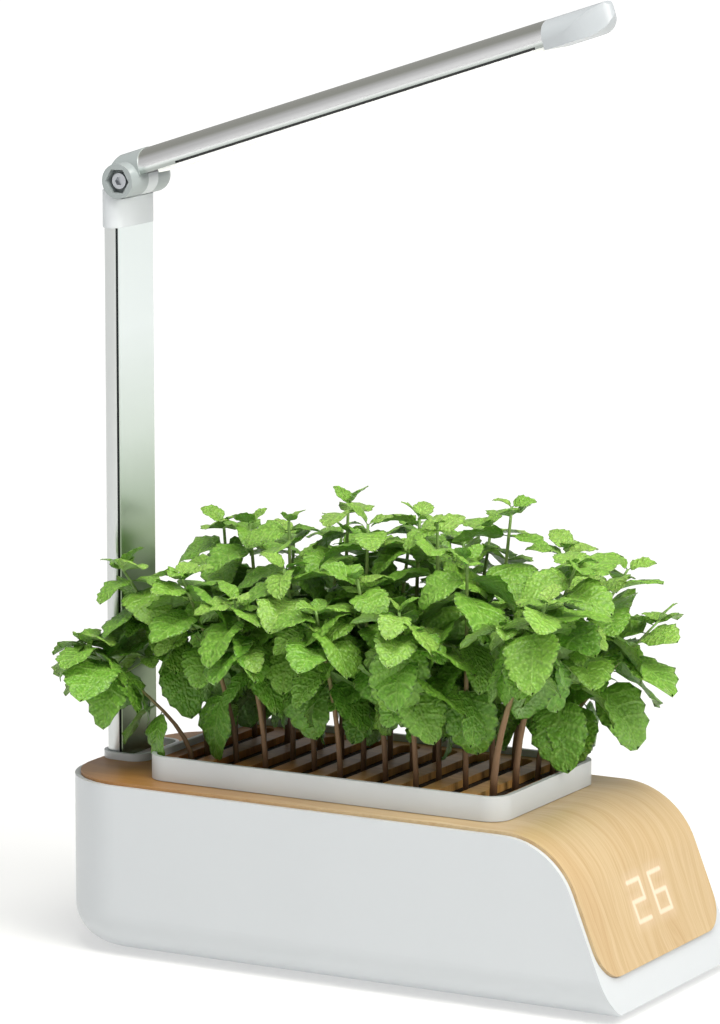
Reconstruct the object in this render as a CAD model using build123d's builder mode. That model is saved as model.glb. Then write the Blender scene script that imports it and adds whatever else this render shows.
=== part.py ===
"""Indoor herb planter: a housing with a wood deck, a lift-out tray of mint and a hinged grow light.

Millimetres. +X points to the nose with the display, +Z is up. The origin is the middle of the
housing's footprint, on the surface that the planter stands on.
"""
from build123d import *
import math
import os

os.makedirs("parts", exist_ok=True)

# Clearances and cuts
seat_gap = 0.3
fit_gap = 0.2
running_gap = 0.06
overrun = 8.0

# Housing shell
housing_length = 340.0
housing_width = 145.0
rim_height = 93.4
foot_height = 1.5
end_radius = 42.0
bottom_radius = 22.0
nose_angle = 68.4
nose_radius = 43.0
wall = 3.0
rim_margin = 2.9

# Wood deck
deck_thickness = 3.2
deck_proud = 1.7
deck_lower_height = 22.0
deck_corner_radius = 18.0

# Bottom cover and its screws
cover_rear_inset = 29.0
cover_nose_inset = 47.0
cover_side_inset = 25.5
cover_corner_radius = 14.0
cover_thickness = 3.0
boss_radius = 5.0
screw_radius = 1.5
screw_head_radius = 2.8
screw_head_height = 1.8
screw_length = 12.0
rear_boss_inset = 7.0
front_boss_inset = 11.0
boss_side_inset = 12.0

# Rubber feet
foot_radius = 8.0
foot_recess = 1.0
foot_end_inset = 29.0
foot_side_inset = 13.0

# Plant tray, its grow plate and sponges
tray_post_gap = 36.2
tray_nose_gap = 74.8
tray_side_inset = 16.5
tray_corner_radius = 12.0
tray_rim_rise = 13.3
tray_wall = 2.6
tray_ledge = 3.2
tray_depth = 36.0
plate_drop = 3.6
plate_thickness = 4.0
slot_count = 9
slot_margin = 10.6
slot_bar = 10.0
slot_side_inset = 8.0
sponge_side_gap = 0.8
sponge_end_gap = 4.0
drain_radius = 3.0

# Water tank
tank_gap = 2.0
tank_wall = 2.0
tank_flange = 5.0
tank_floor_height = 9.0

# Lamp post and its collar
post_face_inset = 15.0
post_thickness = 10.0
post_width = 39.0
post_edge_radius = 4.6
post_wall = 1.5
post_foot_z = 58.0
post_top_z = 383.0
strip_thickness = 0.8
strip_margin = 2.0
strip_groove = 0.9
collar_length = 28.0
collar_width = 46.0
collar_wall = 2.0
collar_height = 4.0
collar_back_gap = 2.7
collar_corner_radius = 9.5
bracket_reach = 7.0
bracket_side = 6.0
bracket_floor = 3.0
bracket_screw_radius = 2.0
bracket_screw_length = 11.0
bracket_screw_z = 74.0
bracket_screw_y = 10.0

# Lamp hinge
hinge_lead = 1.8
hinge_z = 408.5
barrel_radius = 9.3
barrel_dome = 6.5
barrel_overhang = 2.8
cradle_gap = 0.9
lug_side_gap = 0.15
lug_width = 10.0
cap_back_z = 403.0
cap_plug_depth = 14.0
bolt_radius = 2.5
bolt_head_radius = 4.2
bolt_head_height = 4.0
bolt_socket = 2.4
recess_width = 12.4
recess_depth = 6.0
nut_width = 8.0
nut_height = 4.0

# Lamp arm, in its own line from the hinge
arm_angle = 18.2
arm_start = 10.0
arm_joint = 262.0
arm_tip = 299.0
arm_half_width = 14.0
arm_top = 13.8
arm_side = 3.4
arm_bottom = 0.2
arm_wall = 1.4
knuckle_flare = 0.4
knuckle_back = 8.0
knuckle_crest = -5.0
knuckle_plug = 12.0
cap_nose = 27.0
cap_shoulder = 9.0
cap_shoulder_width = 18.0
cap_keel = 15.0
cap_chin = 7.6
cap_brow = 3.0
slit_height = 1.3
slit_rear_margin = 23.0
slit_front_margin = 5.0
base_strip_thickness = 1.6
window_width = 15.0
rail_height = 2.4
rail_width = 1.4
board_thickness = 1.0
board_width = 20.0
chip_length = 3.0
chip_width = 2.4
chip_height = 0.7
chip_count = 24
diffuser_thickness = 1.8
diffuser_inset = 0.8
diffuser_start = 11.0
board_side_gap = 0.6
lamp_end_gap = 8.0

# Electronics in the housing
display_width = 44.0
display_height = 26.0
display_depth = 3.4
display_center_z = 51.0
board_margin = 6.0
circuit_thickness = 1.6
control_length = 30.0
control_width = 54.0
control_inset = 31.0
control_z = 24.0
standoff_radius = 3.0
component_height = 7.0
inlet_z = 36.0
inlet_width = 11.0
inlet_depth = 13.0
inlet_flange_radius = 7.0
inlet_bore_radius = 3.2
inlet_pin_radius = 1.0

cap_web_rise = 6.0
plug_lift = 5.0
nut_cover = 4.0

# Mint plants
plant_scale = 1.0
stem_radius = 1.3
stem_shares = [0.0, 0.06, 0.36, 0.68, 1.0]
bow_early_share = 1.6
bow_late_share = 0.6
clear_shares = (0.4, 0.7, 1.0)
golden_turn = 137.5
leaf_length = 40.0
leaf_thickness = 0.9
leaf_room = 6.0
leaf_drop_room = 3.0
leaf_width_share = 0.66
leaf_outline_shares = [
    (0.0, 0.03),
    (0.14, 0.04),
    (0.24, 0.36),
    (0.42, 0.5),
    (0.62, 0.47),
    (0.82, 0.26),
    (1.0, 0.0),
]
# Share of the stem, rise of the blade in degrees, share of the leaf length
leaf_levels = [(0.46, -12, 1.0), (0.66, 2, 1.0), (0.84, 14, 0.86), (0.99, 32, 0.6)]
# Slot counted from the post, share across the tray, lean along X, lean along Y, height
mint_stems = [
    (0, -0.8, -56, -20, 64),
    (0, -0.4, -40, -22, 104),
    (0, 0.3, -14, 12, 121),
    (0, 0.8, -34, 24, 92),
    (1, -0.6, -22, -20, 104),
    (1, 0.1, -12, 6, 124),
    (1, 0.7, -8, 22, 112),
    (2, -0.8, -6, -22, 96),
    (2, -0.1, 0, -4, 131),
    (2, 0.6, 4, 18, 120),
    (3, -0.5, -8, -18, 112),
    (3, 0.2, 2, 4, 139),
    (3, 0.8, -4, 20, 112),
    (4, -0.8, 0, -26, 96),
    (4, -0.2, 6, -6, 135),
    (4, 0.5, 4, 16, 126),
    (5, -0.6, -6, -20, 112),
    (5, 0.1, 2, 4, 137),
    (5, 0.7, 6, 22, 118),
    (6, -0.8, 4, -26, 100),
    (6, -0.2, 2, -6, 139),
    (6, 0.5, 8, 14, 131),
    (7, -0.5, 10, -18, 127),
    (7, 0.2, 8, 6, 146),
    (7, 0.8, 20, 22, 118),
    (8, -0.8, 42, -22, 112),
    (8, -0.2, 40, -10, 126),
    (8, 0.4, 46, 12, 116),
    (8, 0.8, 50, 24, 84),
]

half_length = housing_length / 2
half_width = housing_width / 2
post_face_x = post_face_inset - half_length
tray_rear = post_face_x + tray_post_gap
tray_front = half_length - tray_nose_gap
tray_x = (tray_rear + tray_front) / 2
tray_length = tray_front - tray_rear
tray_width = housing_width - 2 * tray_side_inset
slot_pitch = (tray_length - slot_margin) / slot_count
slot_width = slot_pitch - slot_bar
slot_length = tray_width - 2 * slot_side_inset
sponge_width = slot_width - 2 * sponge_side_gap
sponge_length = slot_length - 2 * sponge_end_gap
cover_rear = cover_rear_inset - half_length
cover_front = half_length - cover_nose_inset
cover_x = (cover_rear + cover_front) / 2
cover_length = cover_front - cover_rear
cover_width = housing_width - 2 * cover_side_inset
boss_y = cover_width / 2 - boss_side_inset
foot_y = cover_width / 2 - foot_side_inset
control_x = control_inset - half_length
hinge_x = post_face_x + hinge_lead
barrel_half = post_width / 2 + barrel_overhang
deck_top = rim_height + deck_proud
pocket_depth = deck_thickness - deck_proud
skin_under = rim_height - pocket_depth - wall
nose_run = 1 / math.tan(math.radians(nose_angle))
nose_tangent = nose_radius * math.tan(math.radians(nose_angle) / 2)
bend_x = half_length - rim_height * nose_run - nose_tangent
bend_z = rim_height - nose_radius


def save(part, name):
    """Label a finished piece and write its STEP file."""
    part.label = name
    export_step(part, f"parts/{name}.step")


def nose_point(skin, height):
    """The point (x, z) of the nose slope, moved out by skin, at a height."""
    shift = skin / math.sin(math.radians(nose_angle))
    return (half_length - height * nose_run + shift, height)


def plan_outline(inset):
    """The housing's plan in the current sketch, square and long at the nose, drawn in by inset."""
    left = -half_length + inset
    right = half_length + overrun
    with Locations(((left + right) / 2, 0)):
        Rectangle(right - left, housing_width - 2 * inset)
    corners = vertices().group_by(Axis.X)[0]
    fillet(corners, end_radius - inset)


def nose_path(skin):
    """The top line, bend and slope of the side view, moved out by skin, in the current line."""
    top = rim_height + skin
    run = Line((-half_length - overrun, top), (bend_x, top))
    bend = CenterArc((bend_x, bend_z), nose_radius + skin, 90, -nose_angle)
    return run, bend


def hull(inset, skin, floor, floor_radius):
    """A closed form inside the housing's outline, drawn in by inset and cut to the nose."""
    with BuildPart() as form:
        with BuildSketch(Plane.XY.offset(floor)):
            plan_outline(inset)
        extrude(amount=rim_height + skin - floor)
        if floor_radius > 0:
            fillet(form.faces().sort_by(Axis.Z)[0].edges(), floor_radius)
        with BuildSketch(Plane.XZ):
            with BuildLine():
                run, bend = nose_path(skin)
                slope_end = nose_point(skin, -overrun)
                Polyline(
                    bend @ 1,
                    slope_end,
                    (half_length + 2 * overrun, -overrun),
                    (half_length + 2 * overrun, rim_height + 2 * overrun),
                    (-half_length - overrun, rim_height + 2 * overrun),
                    run @ 0,
                )
            make_face()
        extrude(amount=housing_width, both=True, mode=Mode.SUBTRACT)
    return form.part


def deck_band(inset, outer_skin, inner_skin, lower_height, corner_radius):
    """A skin over the top and the nose, between two offsets of the side view."""
    with BuildPart() as band:
        with BuildSketch(Plane.XZ):
            with BuildLine():
                outer_run, outer_bend = nose_path(outer_skin)
                inner_run, inner_bend = nose_path(inner_skin)
                outer_foot = nose_point(outer_skin, lower_height + outer_skin * nose_run)
                inner_foot = nose_point(inner_skin, lower_height + inner_skin * nose_run)
                Polyline(outer_bend @ 1, outer_foot, inner_foot, inner_bend @ 1)
                Line(outer_run @ 0, inner_run @ 0)
            make_face()
        extrude(amount=half_width - inset, both=True)
        lower_face = band.faces().sort_by(Axis.Z)[0]
        corner_edges = lower_face.edges().sort_by(Axis.Y)
        fillet([corner_edges[0], corner_edges[-1]], corner_radius)
        with BuildSketch(Plane.XY):
            plan_outline(inset)
        extrude(amount=rim_height + 3 * overrun, mode=Mode.INTERSECT)
    return band.part


def collar_outline(inset):
    """The oval outline of the post collar in the current sketch, drawn in by inset."""
    with Locations((collar_x, 0)):
        RectangleRounded(
            collar_length - 2 * inset, collar_width - 2 * inset, collar_corner_radius - inset
        )


def post_outline(inset):
    """The rounded section of the post in the current sketch, drawn in by inset."""
    with Locations((post_x, 0)):
        RectangleRounded(
            post_thickness - 2 * inset, post_width - 2 * inset, post_edge_radius - inset
        )


post_x = post_face_x - post_thickness / 2
collar_x = post_face_x - post_thickness - collar_back_gap + collar_length / 2
tray_seat = deck_top + seat_gap
tray_top = deck_top + tray_rim_rise
well_length = tray_length - 2 * tray_ledge
well_width = tray_width - 2 * tray_ledge
well_radius = tray_corner_radius - tray_ledge
opening_length = well_length + 2 * tank_gap
opening_width = well_width + 2 * tank_gap
opening_radius = well_radius + tank_gap
boss_places = [
    (x, side * boss_y)
    for x in (cover_rear + rear_boss_inset, cover_front - front_boss_inset)
    for side in (-1, 1)
]
foot_places = [
    (x, side * foot_y)
    for x in (cover_rear + foot_end_inset, cover_front - foot_end_inset)
    for side in (-1, 1)
]
foot_places.append((0, 0))
cover_top = foot_height + cover_thickness
display_plane = Plane(
    origin=(nose_point(0, display_center_z)[0], 0, display_center_z),
    x_dir=(0, 1, 0),
    z_dir=(math.sin(math.radians(nose_angle)), 0, math.cos(math.radians(nose_angle))),
)
inlet_plane = Plane(origin=(-half_length, 0, inlet_z), x_dir=(0, 1, 0), z_dir=(-1, 0, 0))

def arm_outline(grow):
    """The half-round section of the lamp arm as a sketch, grown all round."""
    return arm_section(arm_half_width + grow, arm_bottom - grow, arm_side, arm_top + grow)


def arm_section(half_breadth, bottom, side, top):
    """A sketch of a flat-bottomed section with short sides and an elliptical top."""
    with BuildSketch() as section:
        with BuildLine():
            crown = EllipticalCenterArc(
                (0, side), half_breadth, top - side, start_angle=0, arc_size=180
            )
            Polyline(crown @ 1, (-half_breadth, bottom), (half_breadth, bottom), crown @ 0)
        make_face()
    return section.sketch


def arm_place(along):
    """The plane square to the arm at a distance along it from the hinge."""
    return Plane(
        origin=(hinge_x + along * arm_run, 0, hinge_z + along * arm_rise),
        x_dir=(0, 1, 0),
        z_dir=(arm_run, 0, arm_rise),
    )


arm_run = math.cos(math.radians(arm_angle))
arm_rise = math.sin(math.radians(arm_angle))
hinge_axis_plane = Plane(origin=(hinge_x, 0, hinge_z), x_dir=(1, 0, 0), z_dir=(0, -1, 0))
arm_side_plane = Plane(origin=(hinge_x, 0, hinge_z), x_dir=(arm_run, 0, arm_rise), z_dir=(0, -1, 0))
arm_plan_plane = Plane(
    origin=(hinge_x, 0, hinge_z), x_dir=(arm_run, 0, arm_rise), z_dir=(-arm_rise, 0, arm_run)
)

# Housing shell: moulded in white, open below, with a pocket for the deck and a well for the tank
with BuildPart() as screw_bosses:
    with BuildSketch(Plane.XY.offset(cover_top)):
        with Locations(*boss_places):
            Circle(boss_radius)
    extrude(amount=rim_height)
    add(hull(wall / 2, -pocket_depth - wall / 2, foot_height, 0), mode=Mode.INTERSECT)

with BuildPart() as housing_shell:
    add(hull(0, 0, foot_height, bottom_radius))
    add(
        hull(wall, -pocket_depth - wall, foot_height + wall, bottom_radius - wall),
        mode=Mode.SUBTRACT,
    )
    add(
        deck_band(rim_margin, overrun, -pocket_depth, deck_lower_height, deck_corner_radius),
        mode=Mode.SUBTRACT,
    )
    add(screw_bosses.part)
    with BuildSketch(Plane.XY.offset(foot_height - overrun)):
        with Locations((cover_x, 0)):
            RectangleRounded(cover_length, cover_width, cover_corner_radius)
    extrude(amount=overrun + cover_thickness, mode=Mode.SUBTRACT)
    with BuildSketch(Plane.XY.offset(skin_under - overrun)):
        with Locations((tray_x, 0)):
            RectangleRounded(opening_length, opening_width, opening_radius)
        post_outline(-fit_gap)
    extrude(amount=2 * overrun, mode=Mode.SUBTRACT)
    with BuildSketch(display_plane):
        Rectangle(display_width + 2 * fit_gap, display_height + 2 * fit_gap)
    extrude(amount=overrun, both=True, mode=Mode.SUBTRACT)
    with BuildSketch(inlet_plane):
        Circle(inlet_width / 2 + fit_gap)
    extrude(amount=overrun, both=True, mode=Mode.SUBTRACT)
    with BuildSketch(Plane.XY.offset(cover_top)):
        with Locations(*boss_places):
            Circle(screw_radius)
    extrude(amount=screw_length, mode=Mode.SUBTRACT)
save(housing_shell.part, "housing_shell")

# Wood deck: one skin over the top and down the nose, set in the pocket
with BuildPart() as wood_deck:
    add(
        deck_band(
            rim_margin + fit_gap,
            deck_proud,
            -pocket_depth,
            deck_lower_height + fit_gap,
            deck_corner_radius - fit_gap,
        )
    )
    with BuildSketch(Plane.XY.offset(skin_under)):
        with Locations((tray_x, 0)):
            RectangleRounded(opening_length, opening_width, opening_radius)
        post_outline(-fit_gap)
        collar_outline(2 * collar_wall)
    extrude(amount=2 * overrun, mode=Mode.SUBTRACT)
save(wood_deck.part, "wood_deck")

# Bottom cover: a plate flush with the shell, with pockets for the feet
with BuildPart() as bottom_cover:
    with BuildSketch(Plane.XY.offset(foot_height)):
        with Locations((cover_x, 0)):
            RectangleRounded(
                cover_length - 2 * fit_gap,
                cover_width - 2 * fit_gap,
                cover_corner_radius - fit_gap,
            )
    extrude(amount=cover_thickness)
    with BuildSketch(Plane.XY.offset(foot_height)):
        with Locations(*foot_places):
            Circle(foot_radius)
    extrude(amount=foot_recess, mode=Mode.SUBTRACT)
    with BuildSketch(Plane.XY.offset(foot_height)):
        with Locations(*boss_places):
            Circle(screw_radius)
    extrude(amount=cover_thickness, mode=Mode.SUBTRACT)
    with BuildSketch(Plane.XY.offset(foot_height)):
        with Locations(*boss_places):
            Circle(screw_head_radius + fit_gap)
    extrude(amount=screw_head_height, mode=Mode.SUBTRACT)
save(bottom_cover.part, "bottom_cover")

# Cover screws: pan heads sunk in the cover, shanks in the bosses
with BuildPart() as cover_screws:
    with BuildSketch(Plane.XY.offset(foot_height)):
        with Locations(*boss_places):
            Circle(screw_head_radius)
    extrude(amount=screw_head_height)
    with BuildSketch(Plane.XY.offset(foot_height + screw_head_height)):
        with Locations(*boss_places):
            Circle(screw_radius)
    extrude(amount=screw_length)
save(cover_screws.part, "cover_screws")

# Rubber feet: discs glued in the cover's pockets, four near the corners and one in the middle
with BuildPart() as rubber_feet:
    with BuildSketch(Plane.XY):
        with Locations(*foot_places):
            Circle(foot_radius)
    extrude(amount=foot_height + foot_recess)
save(rubber_feet.part, "rubber_feet")

# Water tank: hangs by its flange under the shell's skin
with BuildPart() as water_tank:
    with BuildSketch(Plane.XY.offset(skin_under)):
        with Locations((tray_x, 0)):
            RectangleRounded(
                opening_length + 2 * tank_wall + 2 * tank_flange,
                opening_width + 2 * tank_wall + 2 * tank_flange,
                opening_radius + tank_wall + tank_flange,
            )
    extrude(amount=-tank_wall)
    with BuildSketch(Plane.XY.offset(skin_under)):
        with Locations((tray_x, 0)):
            RectangleRounded(
                opening_length + 2 * tank_wall,
                opening_width + 2 * tank_wall,
                opening_radius + tank_wall,
            )
    extrude(amount=tank_floor_height - tank_wall - skin_under)
    with BuildSketch(Plane.XY.offset(tank_floor_height)):
        with Locations((tray_x, 0)):
            RectangleRounded(opening_length, opening_width, opening_radius)
    extrude(amount=skin_under, mode=Mode.SUBTRACT)
save(water_tank.part, "water_tank")

# Plant tray: a rim that stands on the deck and a basin that hangs in the tank
plate_top = tray_top - plate_drop
plate_under = plate_top - plate_thickness
basin_floor = tray_seat - tray_depth
with BuildPart() as plant_tray:
    with BuildSketch(Plane.XY.offset(tray_seat)):
        with Locations((tray_x, 0)):
            RectangleRounded(tray_length, tray_width, tray_corner_radius)
    extrude(amount=tray_top - tray_seat)
    with BuildSketch(Plane.XY.offset(basin_floor)):
        with Locations((tray_x, 0)):
            RectangleRounded(well_length, well_width, well_radius)
    extrude(amount=tray_depth)
    with BuildSketch(Plane.XY.offset(plate_under)):
        with Locations((tray_x, 0)):
            RectangleRounded(
                tray_length - 2 * tray_wall,
                tray_width - 2 * tray_wall,
                tray_corner_radius - tray_wall,
            )
    extrude(amount=tray_top, mode=Mode.SUBTRACT)
    with BuildSketch(Plane.XY.offset(basin_floor + tray_wall)):
        with Locations((tray_x, 0)):
            RectangleRounded(
                well_length - 2 * tray_wall, well_width - 2 * tray_wall, well_radius - tray_wall
            )
    extrude(amount=tray_top, mode=Mode.SUBTRACT)
    with BuildSketch(Plane.XY.offset(basin_floor - overrun)):
        with Locations((tray_x, 0)):
            with GridLocations(slot_pitch, tray_width / 4, slot_count - 1, 3):
                Circle(drain_radius)
    extrude(amount=overrun + tray_wall, mode=Mode.SUBTRACT)
save(plant_tray.part, "plant_tray")

# Grow plate: a slotted plate on the tray's ledge
with BuildPart() as grow_plate:
    with BuildSketch(Plane.XY.offset(plate_under)):
        with Locations((tray_x, 0)):
            RectangleRounded(
                tray_length - 2 * tray_wall - 2 * fit_gap,
                tray_width - 2 * tray_wall - 2 * fit_gap,
                tray_corner_radius - tray_wall - fit_gap,
            )
            with GridLocations(slot_pitch, 0, slot_count, 1):
                SlotOverall(slot_length, slot_width, rotation=90, mode=Mode.SUBTRACT)
    extrude(amount=plate_thickness)
save(grow_plate.part, "grow_plate")

# Root sponges: one strip under each slot, standing on the basin's floor
with BuildPart() as root_sponges:
    with BuildSketch(Plane.XY.offset(basin_floor + tray_wall)):
        with Locations((tray_x, 0)):
            with GridLocations(slot_pitch, 0, slot_count, 1):
                Rectangle(sponge_width, sponge_length)
    extrude(amount=plate_under - basin_floor - tray_wall)
save(root_sponges.part, "root_sponges")

# Mint: each stem is a bowed run from its slot, with crossed pairs of leaves
slot_reach = slot_length / 2 - slot_width / 2


def slot_x(index):
    """The middle of a slot, counted from the post."""
    return tray_x + (index - (slot_count - 1) / 2) * slot_pitch


def stem_point(stem, share):
    """A point on a stem, which starts upright and bows out to its tip."""
    slot, side_share, lean_x, lean_y, height = stem
    out = share * share * (bow_early_share - bow_late_share * share)
    x = slot_x(slot) + lean_x * plant_scale * out
    y = side_share * slot_reach + lean_y * plant_scale * out
    return Vector(x, y, plate_under + height * plant_scale * share)


def leaf_frames(number, stem):
    """The leaf bases of one stem, as (base, azimuth, rise, length)."""
    frames = []
    for level, (share, rise, length_share) in enumerate(leaf_levels):
        for side in (0, 180):
            azimuth = number * golden_turn + level * 90 + side
            frames.append((stem_point(stem, share), azimuth, rise, leaf_length * length_share))
    return frames


def leaf_plane(base, azimuth, rise):
    """The plane of a leaf: X runs from the stem to its tip."""
    turn = math.radians(azimuth)
    lift = math.radians(rise)
    along = (
        math.cos(turn) * math.cos(lift),
        math.sin(turn) * math.cos(lift),
        math.sin(lift),
    )
    up = (
        -math.cos(turn) * math.sin(lift),
        -math.sin(turn) * math.sin(lift),
        math.cos(lift),
    )
    return Plane(origin=base, x_dir=along, z_dir=up)


def leaf_is_clear(plane, length):
    """Whether a leaf keeps off the post, the rim of the tray and the deck."""
    for share in clear_shares:
        place = plane.from_local_coords((length * share, 0, 0))
        beside_post = abs(place.Y) < post_width / 2 + leaf_room
        if beside_post and place.X < post_face_x + leaf_room:
            return False
        if place.Z < tray_top + leaf_drop_room:
            return False
    return True


with BuildPart() as mint_plants:
    for number, stem in enumerate(mint_stems):
        for base, azimuth, rise, length in leaf_frames(number, stem):
            blade = leaf_plane(base, azimuth, rise)
            if leaf_is_clear(blade, length):
                with BuildSketch(blade):
                    with BuildLine():
                        edge = [
                            (length * along, length * leaf_width_share * across)
                            for along, across in leaf_outline_shares
                        ]
                        back = [(x, -y) for x, y in reversed(edge[:-1])]
                        Polyline(*edge, *back, close=True)
                    make_face()
    blades = extrude(amount=leaf_thickness / 2, both=True, mode=Mode.PRIVATE)
    runs = []
    for stem in mint_stems:
        for start_share, end_share in zip(stem_shares[:-1], stem_shares[1:]):
            start = stem_point(stem, start_share)
            end = stem_point(stem, end_share)
            span = end - start
            with BuildSketch(Plane(origin=start, z_dir=span)) as section:
                Circle(stem_radius)
            runs.append(extrude(section.sketch, amount=span.length, mode=Mode.PRIVATE))
    add([blades, *runs])
save(mint_plants.part, "mint_plants")

# Post collar: an oval ring on the deck round the post
with BuildPart() as post_collar:
    with BuildSketch(Plane.XY.offset(deck_top)):
        collar_outline(0)
        with Locations((collar_x, 0)):
            RectangleRounded(
                collar_length - 2 * collar_wall,
                collar_width - 2 * collar_wall,
                collar_corner_radius - collar_wall,
                mode=Mode.SUBTRACT,
            )
    extrude(amount=collar_height)
save(post_collar.part, "post_collar")

# Post tube: flat anodised extrusion with a shallow seat for the front strip
strip_width = post_width - 2 * strip_margin
strip_foot_z = deck_top + seat_gap
with BuildPart() as post_tube:
    with BuildSketch(Plane.XY.offset(post_foot_z)):
        post_outline(0)
    extrude(amount=post_top_z - post_foot_z)
    with BuildSketch(Plane.XY.offset(post_foot_z)):
        with Locations((post_x - strip_thickness / 2, 0)):
            RectangleRounded(
                post_thickness - 2 * post_wall - strip_thickness,
                post_width - 2 * post_wall,
                post_edge_radius - post_wall,
            )
    extrude(amount=post_top_z, mode=Mode.SUBTRACT)
    with BuildSketch(Plane.XY.offset(strip_foot_z - fit_gap)):
        with Locations((post_face_x, 0)):
            Rectangle(2 * strip_thickness, strip_width + 2 * strip_groove)
    extrude(amount=post_top_z, mode=Mode.SUBTRACT)
    with BuildSketch(Plane.YZ.offset(post_x)):
        with Locations((-bracket_screw_y, bracket_screw_z), (bracket_screw_y, bracket_screw_z)):
            Circle(bracket_screw_radius)
    extrude(amount=post_thickness, mode=Mode.SUBTRACT)
save(post_tube.part, "post_tube")

# Post front strip: a bright strip pressed into the post's face
with BuildPart() as post_front_strip:
    with BuildSketch(Plane.XY.offset(strip_foot_z)):
        with Locations((post_face_x - strip_thickness / 2, 0)):
            Rectangle(strip_thickness, strip_width)
    extrude(amount=post_top_z - strip_foot_z)
save(post_front_strip.part, "post_front_strip")

# Post bracket: holds the foot of the post under the skin
bracket_back = post_face_x - post_thickness
bracket_front = post_face_x + bracket_reach
with BuildPart() as post_bracket:
    with BuildSketch(Plane.XY.offset(post_foot_z - bracket_floor)):
        with Locations(((bracket_back + bracket_front) / 2, 0)):
            Rectangle(bracket_front - bracket_back, post_width + 2 * bracket_side)
    extrude(amount=skin_under - post_foot_z + bracket_floor)
    with BuildSketch(Plane.XY.offset(post_foot_z)):
        post_outline(-fit_gap)
    extrude(amount=skin_under, mode=Mode.SUBTRACT)
    with BuildSketch(Plane.YZ.offset(post_x)):
        with Locations((-bracket_screw_y, bracket_screw_z), (bracket_screw_y, bracket_screw_z)):
            Circle(bracket_screw_radius)
    extrude(amount=post_thickness + bracket_reach, mode=Mode.SUBTRACT)
save(post_bracket.part, "post_bracket")

# Bracket screws: two, through the bracket into the post
with BuildPart() as bracket_screws:
    with BuildSketch(Plane.YZ.offset(bracket_front)):
        with Locations((-bracket_screw_y, bracket_screw_z), (bracket_screw_y, bracket_screw_z)):
            Circle(2 * bracket_screw_radius)
    extrude(amount=bracket_screw_radius)
    with BuildSketch(Plane.YZ.offset(bracket_front)):
        with Locations((-bracket_screw_y, bracket_screw_z), (bracket_screw_y, bracket_screw_z)):
            Circle(bracket_screw_radius)
    extrude(amount=-bracket_screw_length)
save(bracket_screws.part, "bracket_screws")

# Post cap: closes the post, cradles the barrel and carries its lug
with BuildPart() as post_cap:
    with BuildSketch(Plane.XY.offset(post_top_z)):
        post_outline(-cradle_gap)
    extrude(amount=cap_back_z - post_top_z)
    with BuildSketch(hinge_axis_plane):
        Circle(barrel_radius + cradle_gap)
    extrude(amount=post_width, both=True, mode=Mode.SUBTRACT)
    with BuildSketch(hinge_axis_plane):
        Circle(barrel_radius)
        with BuildLine():
            Polyline(
                (post_x - post_thickness / 4 - hinge_x, post_top_z + cap_web_rise - hinge_z),
                (post_face_x - hinge_x, post_top_z + cap_web_rise - hinge_z),
                (post_face_x - hinge_x, 0),
                (-barrel_radius / 2, 0),
                close=True,
            )
        make_face()
    extrude(amount=lug_width / 2, both=True)
    with BuildSketch(Plane.XY.offset(post_top_z)):
        with Locations((post_x - strip_thickness / 2, 0)):
            RectangleRounded(
                post_thickness - 2 * post_wall - strip_thickness - 2 * fit_gap,
                post_width - 2 * post_wall - 2 * fit_gap,
                post_edge_radius - post_wall - fit_gap,
            )
    extrude(amount=-cap_plug_depth)
    with BuildSketch(hinge_axis_plane):
        Circle(bolt_radius + running_gap)
    extrude(amount=post_width, both=True, mode=Mode.SUBTRACT)
save(post_cap.part, "post_cap")

# Arm knuckle: the barrel with its bolt seats, the collar and the plug for the arm shell
with BuildPart() as arm_knuckle:
    with BuildSketch(hinge_axis_plane):
        Circle(barrel_radius)
    extrude(amount=barrel_half, both=True)
    far_edge = arm_knuckle.edges().filter_by(GeomType.CIRCLE).sort_by(Axis.Y)[-1]
    fillet(far_edge, barrel_dome)
    with BuildSketch(arm_place(-knuckle_back)):
        add(arm_outline(knuckle_flare))
    extrude(amount=arm_start + knuckle_back)
    with BuildSketch(arm_side_plane):
        with BuildLine():
            Polyline(
                (-knuckle_back, barrel_radius - knuckle_flare),
                (knuckle_crest, arm_top + knuckle_flare),
                (-knuckle_back, 2 * arm_top),
                (-2 * knuckle_back, 2 * arm_top),
                (-2 * knuckle_back, barrel_radius - knuckle_flare),
                close=True,
            )
        make_face()
    extrude(amount=post_width, both=True, mode=Mode.SUBTRACT)
    with BuildSketch(arm_place(arm_start)):
        add(arm_outline(-arm_wall - fit_gap))
        with Locations((0, arm_bottom)):
            Rectangle(3 * arm_half_width, 2 * plug_lift, mode=Mode.SUBTRACT)
    extrude(amount=knuckle_plug)
    with BuildSketch(hinge_axis_plane):
        Circle(barrel_radius + cradle_gap)
    extrude(amount=lug_width / 2 + lug_side_gap, both=True, mode=Mode.SUBTRACT)
    with BuildSketch(hinge_axis_plane):
        Circle(bolt_radius)
    extrude(amount=post_width, both=True, mode=Mode.SUBTRACT)
    with BuildSketch(hinge_axis_plane.offset(barrel_half - recess_depth)):
        RegularPolygon(recess_width / 2, 6, major_radius=False)
    extrude(amount=overrun + recess_depth, mode=Mode.SUBTRACT)
    with BuildSketch(hinge_axis_plane.offset(-barrel_half + nut_cover)):
        RegularPolygon(nut_width / 2 + fit_gap, 6, major_radius=False)
    extrude(amount=nut_height, mode=Mode.SUBTRACT)
save(arm_knuckle.part, "arm_knuckle")

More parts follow.
